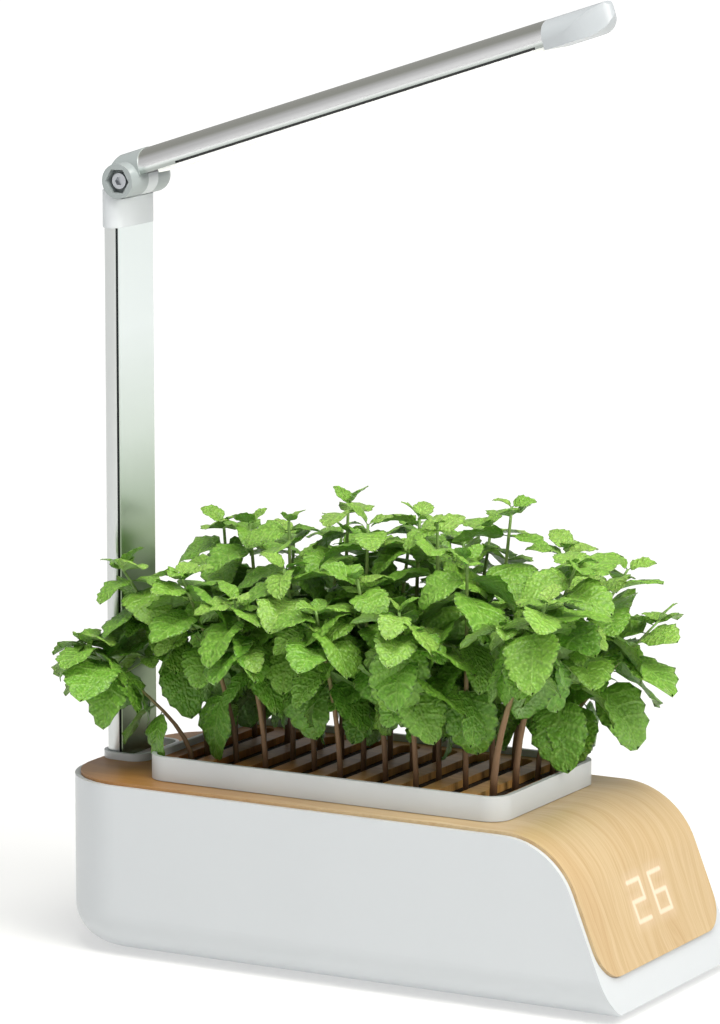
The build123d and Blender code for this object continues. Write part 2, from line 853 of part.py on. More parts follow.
# Hinge bolt: socket head in the near recess
head_seat = barrel_half - recess_depth
nut_seat = -barrel_half + nut_cover
with BuildPart() as hinge_bolt:
    with BuildSketch(hinge_axis_plane.offset(head_seat)):
        Circle(bolt_head_radius)
    extrude(amount=bolt_head_height)
    with BuildSketch(hinge_axis_plane.offset(head_seat + bolt_head_height)):
        RegularPolygon(bolt_socket, 6)
    extrude(amount=-bolt_head_height / 2, mode=Mode.SUBTRACT)
    with BuildSketch(hinge_axis_plane.offset(nut_seat)):
        Circle(bolt_radius)
    extrude(amount=head_seat - nut_seat)
save(hinge_bolt.part, "hinge_bolt")

# Hinge nut: caught in the far end of the barrel
with BuildPart() as hinge_nut:
    with BuildSketch(hinge_axis_plane.offset(nut_seat)):
        RegularPolygon(nut_width / 2, 6, major_radius=False)
        Circle(bolt_radius, mode=Mode.SUBTRACT)
    extrude(amount=nut_height)
save(hinge_nut.part, "hinge_nut")

# Arm shell: half-round anodised extrusion, open below
arm_length = arm_joint - arm_start
with BuildPart() as arm_shell:
    with BuildSketch(arm_place(arm_start)):
        add(arm_outline(0))
    extrude(amount=arm_length)
    with BuildSketch(arm_place(arm_start)):
        add(arm_outline(-arm_wall))
        with Locations((0, arm_bottom)):
            Rectangle(2 * arm_half_width - 2 * arm_wall, 2 * arm_wall + 2 * arm_wall)
    extrude(amount=arm_length, mode=Mode.SUBTRACT)
    with BuildSketch(arm_side_plane):
        with BuildLine():
            slit_rear = arm_start + slit_rear_margin
            slit_front = arm_joint - slit_front_margin
            Polyline(
                (slit_rear, arm_bottom - slit_height),
                (slit_front, arm_bottom - slit_height),
                (slit_front, arm_bottom + slit_height),
                (slit_rear, arm_bottom + slit_height),
                close=True,
            )
        make_face()
    extrude(amount=2 * arm_half_width, both=True, mode=Mode.SUBTRACT)
save(arm_shell.part, "arm_shell")

# Lamp base strip: closes the shell from below, with a window and two rails
lamp_start = arm_start + knuckle_plug + lamp_end_gap
lamp_length = arm_joint - knuckle_plug - lamp_end_gap - lamp_start
base_top = arm_bottom + base_strip_thickness
rail_top = base_top + rail_height
rail_center = window_width / 2 + board_side_gap + rail_width / 2
rail_places = [(side * rail_center, base_top + rail_height / 2) for side in (-1, 1)]
with BuildPart() as lamp_base_strip:
    with BuildSketch(arm_place(arm_start)):
        with Locations((0, arm_bottom + base_strip_thickness / 2)):
            Rectangle(2 * arm_half_width - 2 * arm_wall - 2 * fit_gap, base_strip_thickness)
    extrude(amount=arm_length)
    with BuildSketch(arm_place(lamp_start)):
        with Locations(*rail_places):
            Rectangle(rail_width, rail_height)
    extrude(amount=lamp_length)
    with BuildSketch(arm_place(lamp_start + lamp_end_gap)):
        with Locations((0, arm_bottom)):
            Rectangle(window_width, 3 * base_strip_thickness)
    extrude(amount=lamp_length - 2 * lamp_end_gap, mode=Mode.SUBTRACT)
save(lamp_base_strip.part, "lamp_base_strip")

# Diffuser: a milky strip under the whole arm, which leaves a slit below the shell's sides
diffuser_rear = arm_start + diffuser_start
with BuildPart() as light_diffuser:
    with BuildSketch(arm_place(diffuser_rear)):
        with Locations((0, arm_bottom - diffuser_thickness / 2)):
            Rectangle(2 * arm_half_width - 2 * diffuser_inset, diffuser_thickness)
    extrude(amount=arm_joint - diffuser_rear)
save(light_diffuser.part, "light_diffuser")

# LED board on the rails, with its row of chips below
with BuildPart() as led_board:
    with BuildSketch(arm_place(lamp_start)):
        with Locations((0, rail_top + board_thickness / 2)):
            Rectangle(board_width, board_thickness)
    extrude(amount=lamp_length)
save(led_board.part, "led_board")

chip_pitch = lamp_length / (chip_count + 1)
chip_plane = Plane(
    origin=arm_place(lamp_start).from_local_coords((0, rail_top, 0)),
    x_dir=(arm_run, 0, arm_rise),
    z_dir=(arm_rise, 0, -arm_run),
)
with BuildPart() as led_chips:
    with BuildSketch(chip_plane):
        with Locations(*[((index + 1) * chip_pitch, 0) for index in range(chip_count)]):
            Rectangle(chip_length, chip_width)
    extrude(amount=chip_height)
save(led_chips.part, "led_chips")

# Arm end cap: the half-round form and the diffuser run on into it, and it is cut to a blunt nose
cap_bottom = arm_bottom - diffuser_thickness
cap_length = arm_tip - arm_joint
with BuildPart() as arm_end_cap:
    with BuildSketch(arm_place(arm_joint)):
        add(arm_section(arm_half_width, cap_bottom, arm_side, arm_top))
    extrude(amount=cap_length)
    with BuildSketch(arm_plan_plane):
        with BuildLine():
            nose_start = arm_tip - cap_nose
            nose = Spline(
                (nose_start, -arm_half_width),
                (arm_tip - cap_shoulder, -cap_shoulder_width / 2),
                (arm_tip, 0),
                (arm_tip - cap_shoulder, cap_shoulder_width / 2),
                (nose_start, arm_half_width),
                tangents=[(1, 0), (-1, 0)],
            )
            Polyline(
                nose @ 1,
                (arm_joint, arm_half_width),
                (arm_joint, -arm_half_width),
                nose @ 0,
            )
        make_face()
    extrude(amount=2 * arm_top, both=True, mode=Mode.INTERSECT)
    with BuildSketch(arm_side_plane):
        with BuildLine():
            chin = Spline(
                (arm_tip - cap_keel, cap_bottom),
                (arm_tip, cap_bottom + cap_chin),
                tangents=[(1, 0), (cap_chin / cap_keel, 1)],
            )
            Polyline(
                chin @ 1,
                (arm_tip, arm_top - cap_brow),
                (arm_tip - cap_brow, arm_top),
                (arm_joint, arm_top),
                (arm_joint, cap_bottom),
                chin @ 0,
            )
        make_face()
    extrude(amount=2 * arm_half_width, both=True, mode=Mode.INTERSECT)
    with BuildSketch(arm_place(arm_joint)):
        add(arm_outline(-arm_wall - fit_gap))
        with Locations((0, arm_bottom)):
            Rectangle(3 * arm_half_width, 2 * plug_lift, mode=Mode.SUBTRACT)
    extrude(amount=-knuckle_plug)
save(arm_end_cap.part, "arm_end_cap")

# Display module: sits in the nose window behind the wood
with BuildPart() as display_module:
    with BuildSketch(display_plane.offset(-pocket_depth)):
        Rectangle(display_width, display_height)
    extrude(amount=-display_depth - wall)
save(display_module.part, "display_module")

# Display board: carries the module on the back, on four standoffs from the skin
display_back = -pocket_depth - wall - display_depth
with BuildPart() as display_board:
    with BuildSketch(display_plane.offset(display_back)):
        Rectangle(display_width + 3 * board_margin, display_height + board_margin)
    extrude(amount=-circuit_thickness)
    with BuildSketch(display_plane.offset(display_back)):
        with GridLocations(display_width + 1.5 * board_margin, display_height / 2, 2, 2):
            Circle(standoff_radius)
    extrude(amount=display_depth)
save(display_board.part, "display_board")

# Control board: lies over the bottom cover at the post end
with BuildPart() as control_board:
    with BuildSketch(Plane.XY.offset(control_z)):
        with Locations((control_x, 0)):
            Rectangle(control_length, control_width)
    extrude(amount=circuit_thickness)
    with BuildSketch(Plane.XY.offset(cover_top)):
        with Locations((control_x, 0)):
            with GridLocations(control_length / 2, control_width / 3, 2, 2):
                Circle(standoff_radius)
    extrude(amount=control_z - cover_top)
    with BuildSketch(Plane.XY.offset(control_z + circuit_thickness)):
        with Locations((control_x, 0)):
            with GridLocations(0, control_width / 3, 1, 3):
                Rectangle(control_length / 3, control_width / 5)
    extrude(amount=component_height)
save(control_board.part, "control_board")

# Power inlet: a round jack through the rear wall, with a flange outside
with BuildPart() as power_inlet:
    with BuildSketch(inlet_plane):
        Circle(inlet_flange_radius)
    extrude(amount=seat_gap)
    with BuildSketch(inlet_plane):
        Circle(inlet_width / 2)
    extrude(amount=-inlet_depth)
    with BuildSketch(inlet_plane):
        Circle(inlet_bore_radius)
    extrude(amount=seat_gap, mode=Mode.SUBTRACT)
    with BuildSketch(inlet_plane):
        Circle(inlet_bore_radius)
        Circle(inlet_pin_radius, mode=Mode.SUBTRACT)
    extrude(amount=-inlet_depth + inlet_width / 4, mode=Mode.SUBTRACT)
save(power_inlet.part, "power_inlet")
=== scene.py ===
# %% [markdown]
# An indoor herb planter, dressed for a photograph: a white moulded housing with a wood deck that
# runs down its nose, a slotted tray of mint, a flat aluminium post and a hinged grow lamp.
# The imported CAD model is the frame. Its pieces keep their places and only get finishes here, while
# the soft, living part, the mint, is grown from formulas in numpy.

import math

import bmesh
import bpy
import numpy as np
from mathutils import Matrix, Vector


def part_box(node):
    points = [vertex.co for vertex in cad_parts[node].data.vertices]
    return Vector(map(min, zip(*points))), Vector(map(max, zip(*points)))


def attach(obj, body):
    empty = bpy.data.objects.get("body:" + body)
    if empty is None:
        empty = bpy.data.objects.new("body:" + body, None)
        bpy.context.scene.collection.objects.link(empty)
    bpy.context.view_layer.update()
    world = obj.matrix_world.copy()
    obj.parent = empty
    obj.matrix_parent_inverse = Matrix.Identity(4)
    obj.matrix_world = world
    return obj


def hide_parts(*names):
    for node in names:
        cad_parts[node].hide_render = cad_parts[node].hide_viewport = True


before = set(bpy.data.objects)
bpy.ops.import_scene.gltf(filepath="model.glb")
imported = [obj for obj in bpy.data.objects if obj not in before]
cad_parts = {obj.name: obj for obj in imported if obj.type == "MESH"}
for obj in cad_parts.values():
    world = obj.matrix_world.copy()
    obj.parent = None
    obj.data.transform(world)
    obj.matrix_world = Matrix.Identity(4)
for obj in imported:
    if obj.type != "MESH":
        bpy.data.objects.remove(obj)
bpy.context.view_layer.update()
MM = 0.001
print("pieces in the frame:", len(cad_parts))


# %% [markdown]
# Colours are written as sRGB hex values, as a paint chart gives them. Blender's shaders expect
# linear light, so one function converts them. A second small function adds a shader node with its
# settings and its inputs, where an input is either a plain value or a socket to link.

# %% Colours and shader nodes
def linear(code):
    """Each channel c of an sRGB code becomes ((c + 0.055) / 1.055) ** 2.4, or c / 12.92 if dark."""
    channels = [int(code[start:start + 2], 16) / 255 for start in (1, 3, 5)]
    light = [c / 12.92 if c <= 0.04045 else ((c + 0.055) / 1.055) ** 2.4 for c in channels]
    return (*light, 1.0)


def add_node(tree, kind, inputs=None, **settings):
    """Adds one node with its own settings, and sets or links each named input."""
    made = tree.nodes.new(kind)
    for name, value in settings.items():
        setattr(made, name, value)
    for name, value in (inputs or {}).items():
        if isinstance(value, bpy.types.NodeSocket):
            tree.links.new(value, made.inputs[name])
        else:
            made.inputs[name].default_value = value
    return made


def new_material(name, color, roughness, **sockets):
    """A material with one Principled shader whose plain values sit on its own sockets."""
    material = bpy.data.materials.new(name)
    material.use_nodes = True
    shader = material.node_tree.nodes["Principled BSDF"]
    shader.inputs["Base Color"].default_value = linear(color)
    shader.inputs["Roughness"].default_value = roughness
    for socket, value in sockets.items():
        shader.inputs[socket.replace("_", " ")].default_value = value
    return material, material.node_tree, shader


def place_of(tree, stretch=(1, 1, 1)):
    """Object coordinates in millimetres, each axis multiplied by its stretch."""
    place = add_node(tree, "ShaderNodeTexCoord").outputs["Object"]
    scale = tuple(value / MM for value in stretch)
    mapped = add_node(tree, "ShaderNodeMapping", {"Vector": place, "Scale": scale})
    return mapped.outputs["Vector"]


def ramp(tree, factor, stops):
    """A colour ramp from (position, hex) stops."""
    made = add_node(tree, "ShaderNodeValToRGB", {"Fac": factor})
    elements = made.color_ramp.elements
    for position, code in stops[2:]:
        elements.new(position)
    for element, (position, code) in zip(elements, stops):
        element.position = position
        element.color = linear(code)
    return made.outputs["Color"]


def bump(tree, shader, height, strength, distance):
    """Feeds a height through a Bump node into the shader's normal; distance is in metres."""
    made = add_node(
        tree, "ShaderNodeBump", {"Height": height, "Strength": strength, "Distance": distance}
    )
    tree.links.new(made.outputs["Normal"], shader.inputs["Normal"])


def smooth_step(tree, value, start, end, top=1.0):
    """Rises smoothly from 0 at start to top at end."""
    made = add_node(
        tree,
        "ShaderNodeMapRange",
        {"Value": value, "From Min": start, "From Max": end, "To Max": top},
        interpolation_type="SMOOTHSTEP",
    )
    return made.outputs["Result"]


def split_place(tree):
    """The X, Y and Z sockets of the object coordinates in millimetres."""
    return add_node(tree, "ShaderNodeSeparateXYZ", {"Vector": place_of(tree)}).outputs


def paint(material, color):
    """Links a colour socket to the base colour of a material's shader."""
    tree = material.node_tree
    tree.links.new(color, tree.nodes["Principled BSDF"].inputs["Base Color"])


def finish_node(name, material):
    """Gives a CAD node its finish through its object's material slots."""
    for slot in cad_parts[name].material_slots:
        slot.material = material


def math_node(tree, operation, first, second=0.0):
    """One arithmetic node; each input is a number or a socket."""
    made = add_node(tree, "ShaderNodeMath", operation=operation)
    for position, value in enumerate((first, second)):
        if isinstance(value, bpy.types.NodeSocket):
            tree.links.new(value, made.inputs[position])
        else:
            made.inputs[position].default_value = value
    return made.outputs[0]


def mixed(tree, factor, first, second, blend="MIX"):
    """A colour mix; each colour is a hex code or a socket, and the factor a number or a socket."""
    made = add_node(tree, "ShaderNodeMix", data_type="RGBA", blend_type=blend)
    for name, value in (("Factor", factor), ("A", first), ("B", second)):
        socket = next(s for s in made.inputs if s.name == name and s.enabled)
        if isinstance(value, bpy.types.NodeSocket):
            tree.links.new(value, socket)
        else:
            socket.default_value = linear(value) if isinstance(value, str) else value
    return next(s for s in made.outputs if s.enabled)


print("white is", linear("#FFFFFF"))


# %% [markdown]
# The camera stands where the photograph was taken: about three metres away with a long lens, 29
# degrees round from the front and 10 degrees up. It looks at a point near the middle of the
# planter. A camera looks along its own minus Z, so its axes are the right, up and back vectors.

# %% Camera
CAMERA_AZIMUTH = math.radians(29.015)
CAMERA_ELEVATION = math.radians(10.17)
CAMERA_DISTANCE = 3.08
CAMERA_TARGET = np.array([-0.0767, 0.1049, 0.2176])
LENS_MM = 197.63
SENSOR_MM = 36.0
CLIP_END = 50.0

back = np.array([
    math.sin(CAMERA_AZIMUTH) * math.cos(CAMERA_ELEVATION),
    -math.cos(CAMERA_AZIMUTH) * math.cos(CAMERA_ELEVATION),
    math.sin(CAMERA_ELEVATION),
])
right = np.array([math.cos(CAMERA_AZIMUTH), math.sin(CAMERA_AZIMUTH), 0.0])
up = np.cross(back, right)
camera_data = bpy.data.cameras.new("photo_camera")
camera_data.lens = LENS_MM
camera_data.sensor_width = SENSOR_MM
camera_data.clip_end = CLIP_END
camera = bpy.data.objects.new("photo_camera", camera_data)
bpy.context.scene.collection.objects.link(camera)
camera_place = np.eye(4)
camera_place[:3, :3] = np.stack([right, up, back], axis=1)
camera_place[:3, 3] = CAMERA_TARGET + CAMERA_DISTANCE * back
camera.matrix_world = Matrix(camera_place.tolist())
bpy.context.scene.camera = camera
print("camera stands at", camera_place[:3, 3].round(3))


# %% [markdown]
# The floor is one wide plain sheet that glows a little, more so far away, as a light table does.
# The light is a bright even room with a large soft lamp overhead, one on the nose side and a weak
# one on the near side, as in a small product studio. A lamp's size is in metres and its power in
# watts.

# %% Floor and light
def sheet_mesh(name, corners):
    """One four-cornered face."""
    mesh = bpy.data.meshes.new(name)
    mesh.from_pydata(corners, [], [(0, 1, 2, 3)])
    made = bpy.data.objects.new(name, mesh)
    bpy.context.scene.collection.objects.link(made)
    return made


FLOOR_REACH = 12.0
FLOOR_GLOW_NEAR = 0.42
FLOOR_GLOW_FAR = 0.82
# Distances in mm from the middle of the planter between which the glow grows
GLOW_STARTS_MM = 400.0
GLOW_ENDS_MM = 2500.0
ROOM_STRENGTH = 0.42

floor = sheet_mesh("floor", [
    (-FLOOR_REACH, -FLOOR_REACH, 0.0),
    (FLOOR_REACH, -FLOOR_REACH, 0.0),
    (FLOOR_REACH, FLOOR_REACH, 0.0),
    (-FLOOR_REACH, FLOOR_REACH, 0.0),
])
floor_finish, floor_tree, floor_shader = new_material("painted_floor", "#C3C3C1", 0.9)
floor_shader.inputs["Emission Color"].default_value = linear("#FFFFFF")
from_middle = add_node(
    floor_tree, "ShaderNodeVectorMath", {0: place_of(floor_tree)}, operation="LENGTH"
)
graded = add_node(
    floor_tree,
    "ShaderNodeMapRange",
    {
        "Value": from_middle.outputs["Value"],
        "From Min": GLOW_STARTS_MM,
        "From Max": GLOW_ENDS_MM,
        "To Min": FLOOR_GLOW_NEAR,
        "To Max": FLOOR_GLOW_FAR,
    },
)
floor_tree.links.new(graded.outputs["Result"], floor_shader.inputs["Emission Strength"])
floor.data.materials.append(floor_finish)

world = bpy.data.worlds.new("studio_room")
world.use_nodes = True
background = world.node_tree.nodes["Background"]
background.inputs["Color"].default_value = linear("#FFFFFF")
background.inputs["Strength"].default_value = ROOM_STRENGTH
bpy.context.scene.world = world
bpy.context.scene.view_settings.view_transform = "Standard"


def soft_lamp(name, place, aim, size, power, color):
    """A square area lamp at a place, turned so that its minus Z points at the aim."""
    data = bpy.data.lights.new(name, "AREA")
    data.size = size
    data.energy = power
    data.color = linear(color)[:3]
    made = bpy.data.objects.new(name, data)
    bpy.context.scene.collection.objects.link(made)
    away = np.array(place) - np.array(aim)
    away = away / np.linalg.norm(away)
    side = np.cross((0, 0, 1), away)
    side = side / np.linalg.norm(side)
    turned = np.eye(4)
    turned[:3, :3] = np.stack([side, np.cross(away, side), away], axis=1)
    turned[:3, 3] = place
    made.matrix_world = Matrix(turned.tolist())


LAMP_AIM = (0.0, 0.0, 0.15)
soft_lamp("nose_lamp", (1.6, -0.5, 1.4), LAMP_AIM, 1.0, 24, "#FFFCF6")
soft_lamp("overhead_lamp", (0.5, -0.45, 2.2), LAMP_AIM, 1.3, 44, "#FFFEFA")
soft_lamp("near_lamp", (-0.7, -1.9, 1.4), LAMP_AIM, 1.8, 3, "#FFFFFF")


# %% [markdown]
# The housing, the tray and the lamp's plastic parts are injection-moulded ABS with a satin tool
# finish. ABS has an IOR near 1.53, and its skin is smoother than the body under it, which a thin
# coat gives. A very faint bump at the grain of a spark-eroded mould, drawn a little coarser than
# real so that it shows, breaks up the highlights.

# %% Moulded plastics
ABS_IOR = 1.53
SKIN_COAT = 0.12
SKIN_COAT_ROUGHNESS = 0.18
DRIFT_PER_MM = 0.012
MOULD_GRAIN_PER_MM = 1.4
MOULD_GRAIN_DEPTH = 0.0002
MOULD_GRAIN_STRENGTH = 0.06


def moulded_plastic(name, color, shade, roughness):
    """Satin ABS: a slow drift between two near colours and a fine tool-grain bump."""
    material, tree, shader = new_material(name, color, roughness, IOR=ABS_IOR)
    shader.inputs["Coat Weight"].default_value = SKIN_COAT
    shader.inputs["Coat Roughness"].default_value = SKIN_COAT_ROUGHNESS
    slow = add_node(
        tree, "ShaderNodeTexNoise", {"Vector": place_of(tree), "Scale": DRIFT_PER_MM}
    )
    tint = ramp(tree, slow.outputs["Fac"], [(0.35, color), (0.7, shade)])
    tree.links.new(tint, shader.inputs["Base Color"])
    grain = add_node(
        tree,
        "ShaderNodeTexNoise",
        {"Vector": place_of(tree), "Scale": MOULD_GRAIN_PER_MM, "Detail": 2.0},
    )
    bump(tree, shader, grain.outputs["Fac"], MOULD_GRAIN_STRENGTH, MOULD_GRAIN_DEPTH)
    return material


white_abs = moulded_plastic("white_moulded_abs", "#C9CDD0", "#CACED1", 0.34)
tray_abs = moulded_plastic("tray_moulded_abs", "#C5C9CA", "#C0C5C7", 0.38)
end_abs = moulded_plastic("pale_moulded_abs", "#ACB1B4", "#A6ABAF", 0.32)
grey_abs = moulded_plastic("pale_grey_moulded_abs", "#9CA3A3", "#959D9D", 0.36)
tank_pp = moulded_plastic("translucent_moulded_polypropylene", "#C8CED2", "#BCC4C9", 0.5)
black_nylon = moulded_plastic("black_moulded_nylon", "#1A1B1D", "#222326", 0.45)
for name in ("housing_shell", "bottom_cover", "post_collar", "post_cap"):
    finish_node(name, white_abs)
finish_node("arm_end_cap", end_abs)
finish_node("plant_tray", tray_abs)
finish_node("arm_knuckle", grey_abs)
finish_node("water_tank", tank_pp)
for name in ("post_bracket", "power_inlet", "lamp_base_strip"):
    finish_node(name, black_nylon)


# %% [markdown]
# The deck is a bamboo veneer pressed over the top and the bend of the nose. Its grain runs along
# the housing and on down the slope, so the pattern is nearly constant along X and Z and changes
# quickly across Y. A slow wave pushes the strips sideways, which gives the flame that flat-cut wood
# shows. Strips a few millimetres wide differ in tone, thin darker fibres run in them, and the whole
# is under a satin lacquer, which is the coat. Near the post the veneer is painted a deeper tan:
# this is painted shade, for the shade that the mint casts on the rear of the deck.

# %% Wood deck
LACQUER_IOR = 1.5
LACQUER_COAT = 0.2
LACQUER_ROUGHNESS = 0.25
STRIP_MM = 8.0
FIBRE_MM = 0.8
FIBRE_DEPTH = 0.0002
FIBRE_STRENGTH = 0.12
# How far the flame pushes the strips sideways, how slowly it changes, and how much faster across
FLAME_MM = 28.0
FLAME_PER_MM = 0.011
FLAME_NARROWING = 2.2
# Share of the grain's scale that is left along it
GRAIN_STRETCH = 0.02
# Places along X in mm where the painted shade of the mint starts and is full, and its weight
REAR_PAINTED_SHADE_STARTS_MM = 60.0
REAR_PAINTED_SHADE_FULL_MM = -150.0
REAR_PAINTED_SHADE_WEIGHT = 0.9


def bamboo_veneer(name, tones, fibre_depth, roughness):
    """Long strips from a stretched noise pushed aside by a slow one, and finer, longer fibres."""
    material, tree, shader = new_material(name, tones[1][1], roughness, IOR=LACQUER_IOR)
    shader.inputs["Coat Weight"].default_value = LACQUER_COAT
    shader.inputs["Coat Roughness"].default_value = LACQUER_ROUGHNESS
    slow_place = place_of(tree, (1, FLAME_NARROWING, 1))
    slow = add_node(
        tree, "ShaderNodeTexNoise", {"Vector": slow_place, "Scale": FLAME_PER_MM}
    ).outputs["Fac"]
    sideways = math_node(tree, "MULTIPLY", slow, FLAME_MM)
    push = add_node(tree, "ShaderNodeCombineXYZ", {"Y": sideways})
    along = place_of(tree, (GRAIN_STRETCH, 1.0, GRAIN_STRETCH))
    flamed = add_node(tree, "ShaderNodeVectorMath", {0: along, 1: push.outputs[0]}, operation="ADD")
    strips = add_node(
        tree,
        "ShaderNodeTexNoise",
        {"Vector": flamed.outputs[0], "Scale": 1 / STRIP_MM, "Detail": 3.0, "Roughness": 0.6},
    )
    tint = ramp(tree, strips.outputs["Fac"], tones)
    fibres = add_node(
        tree,
        "ShaderNodeTexNoise",
        {"Vector": flamed.outputs[0], "Scale": 1 / FIBRE_MM, "Detail": 4.0, "Roughness": 0.7},
    )
    lines = ramp(tree, fibres.outputs["Fac"], [(0.36, "#DCC7A2"), (0.56, "#FFFFFF")])
    grained = mixed(tree, fibre_depth, tint, lines, "MULTIPLY")
    # Painted shade: towards the post the grain is multiplied by a deeper tan, for the mint's shade.
    rear_shade_share = smooth_step(tree, split_place(tree)["X"], REAR_PAINTED_SHADE_STARTS_MM, REAR_PAINTED_SHADE_FULL_MM)
    rear_shade_weight = math_node(tree, "MULTIPLY", rear_shade_share, REAR_PAINTED_SHADE_WEIGHT)
    grain_and_painted_shade = mixed(tree, rear_shade_weight, grained, "#D0A04A", "MULTIPLY")
    tree.links.new(grain_and_painted_shade, shader.inputs["Base Color"])
    bump(tree, shader, fibres.outputs["Fac"], FIBRE_STRENGTH, FIBRE_DEPTH)
    return material, tree, shader, grain_and_painted_shade


deck_tones = [(0.34, "#BFA277"), (0.48, "#C4AA80"), (0.58, "#C9B189"), (0.7, "#C0A57A")]
deck_veneer, deck_tree, deck_shader, deck_color = bamboo_veneer(
    "lacquered_bamboo_veneer", deck_tones, 0.4, 0.42
)
finish_node("wood_deck", deck_veneer)
plate_tones = [(0.3, "#A87A3E"), (0.5, "#BC8E50"), (0.62, "#C99C5E"), (0.8, "#AE8246")]
plate_veneer = bamboo_veneer("oiled_bamboo_slats", plate_tones, 0.7, 0.5)[0]
finish_node("grow_plate", plate_veneer)


# %% [markdown]
# The readout glows through the veneer of the nose: a faint real glow on the strokes, and mostly
# painted light, a paler tint painted on the strokes and in a halo round them. Each digit is a few
# straight bars of a seven-bar display. The distance from a point to a bar is the length of what is
# left of its offset from the bar's middle after half the bar's length is taken off, so bars have
# round ends. The offsets lie in the slope: across it, which is Y, and up it, which is Z times the
# slope's stretch.

# %% Readout
SLOPE_STRETCH = 1.0756
DIGIT_HALF_WIDTH = 6.7
DIGIT_HALF_HEIGHT = 10.6
DIGIT_MIDDLE_UP = 55.7
STROKE_RADIUS = 1.15
# A stroke's edge fades from inside its radius to outside it
STROKE_INNER = 0.7
STROKE_OUTER = 0.9
# How much the strokes are painted paler as painted light, their faint real glow, and the reach and
# painted light of the halo
STROKE_PAINTED_GLOW = 0.5
STROKE_GLOW = 0.05
HALO_MM = 8.0
HALO_PAINTED_GLOW = 0.13
FAR_AWAY = 99.0
# Bars as middle across, middle up, half length across and half length up, in digit halves
BARS = {
    "top": (0, 1, 1, 0),
    "upper left": (-1, 0.5, 0, 0.5),
    "upper right": (1, 0.5, 0, 0.5),
    "middle": (0, 0, 1, 0),
    "lower left": (-1, -0.5, 0, 0.5),
    "lower right": (1, -0.5, 0, 0.5),
    "bottom": (0, -1, 1, 0),
}
READOUT = [
    (-9.0, ["top", "upper right", "middle", "lower left", "bottom"]),
    (15.2, ["top", "upper left", "middle", "lower left", "lower right", "bottom"]),
]


def readout_distance(tree):
    """The smallest distance in mm to any lit bar."""
    place = split_place(tree)
    up = math_node(tree, "MULTIPLY", place["Z"], SLOPE_STRETCH)
    flat = add_node(tree, "ShaderNodeCombineXYZ", {"X": place["Y"], "Y": up}).outputs[0]
    nearest = FAR_AWAY
    for digit_middle, lit in READOUT:
        for bar in lit:
            across, rise, half_across, half_up = BARS[bar]
            middle = (
                digit_middle + across * DIGIT_HALF_WIDTH,
                DIGIT_MIDDLE_UP + rise * DIGIT_HALF_HEIGHT,
                0,
            )
            half = (half_across * DIGIT_HALF_WIDTH, half_up * DIGIT_HALF_HEIGHT, 0)
            steps = [
                ("SUBTRACT", middle),
                ("ABSOLUTE", None),
                ("SUBTRACT", half),
                ("MAXIMUM", (0, 0, 0)),
            ]
            offset = flat
            for operation, value in steps:
                inputs = {0: offset} if value is None else {0: offset, 1: value}
                step = add_node(tree, "ShaderNodeVectorMath", inputs, operation=operation)
                offset = step.outputs[0]
            reach = add_node(tree, "ShaderNodeVectorMath", {0: offset}, operation="LENGTH")
            nearest = math_node(tree, "MINIMUM", reach.outputs["Value"], nearest)
    return nearest


to_bar = readout_distance(deck_tree)
stroke = smooth_step(
    deck_tree, to_bar, STROKE_RADIUS + STROKE_OUTER, STROKE_RADIUS - STROKE_INNER
)
# Painted light: the strokes and a halo round them are mixed towards a pale colour in the base
# colour.
painted_halo_glow = smooth_step(deck_tree, to_bar, HALO_MM, 0.0, HALO_PAINTED_GLOW)
tint = math_node(deck_tree, "MAXIMUM", math_node(deck_tree, "MULTIPLY", stroke, STROKE_PAINTED_GLOW), painted_halo_glow)
paint(deck_veneer, mixed(deck_tree, tint, deck_color, "#FFEBD9"))
deck_shader.inputs["Emission Color"].default_value = linear("#FFE2CC")
deck_tree.links.new(
    math_node(deck_tree, "MULTIPLY", stroke, STROKE_GLOW), deck_shader.inputs["Emission Strength"]
)
print("bars lit:", sum(len(lit) for middle, lit in READOUT))


# %% [markdown]
# The post and the lamp arm are aluminium extrusions, anodised in a satin silver. Drawing the metal
# through its die leaves fine lines along its length, which stretch the highlights. The strip on the
# front of the post is rolled and bright-dipped, so it mirrors the mint near its foot and the pale
# room above. A painted reflection helps it: a grade of colour, green-grey low down and nearly white
# above. Another grade, of painted reflection and shade, runs across the arm, square to its length:
# grey on the ridge, bright on the side, darker below.

# %% Metals
DIE_LINES_PER_MM = 2.2
DIE_LINE_DEPTH = 0.0001
# Share of the noise's scale that is left along the post and along the arm
POST_STRETCH = 0.004
ARM_STRETCH = 0.01
# The groove beside the strip, painted dark as shade: its place across the post, half its width, and
# where the front starts
GROOVE_MM = 17.95
GROOVE_HALF_MM = 0.5
POST_FRONT_MM = -157.5
# The height that the stops of the strip's painted reflection are shares of
STRIP_TOP_MM = 400.0
STRIP_PAINTED_REFLECTION_STOPS = [
    (0.3, "#77836A"),
    (0.54, "#8FA083"),
    (0.6, "#AEBCAB"),
    (0.68, "#D0DAD1"),
    (0.82, "#E6EDEB"),
]
# The hinge, the arm's rise at rest, and the height across the arm that the stops of its painted
# reflection and shade are shares of
HINGE_X_MM = -153.2
HINGE_Z_MM = 408.5
ARM_RISE = math.radians(18.2)
ARM_HEIGHT_MM = 14.0
ARM_PAINTED_LIGHT_STOPS = [
    (0.1, "#B0B6B1"),
    (0.19, "#E0E6E2"),
    (0.27, "#FFFFFF"),
    (0.54, "#FFFFFF"),
    (0.7, "#CACBC2"),
]


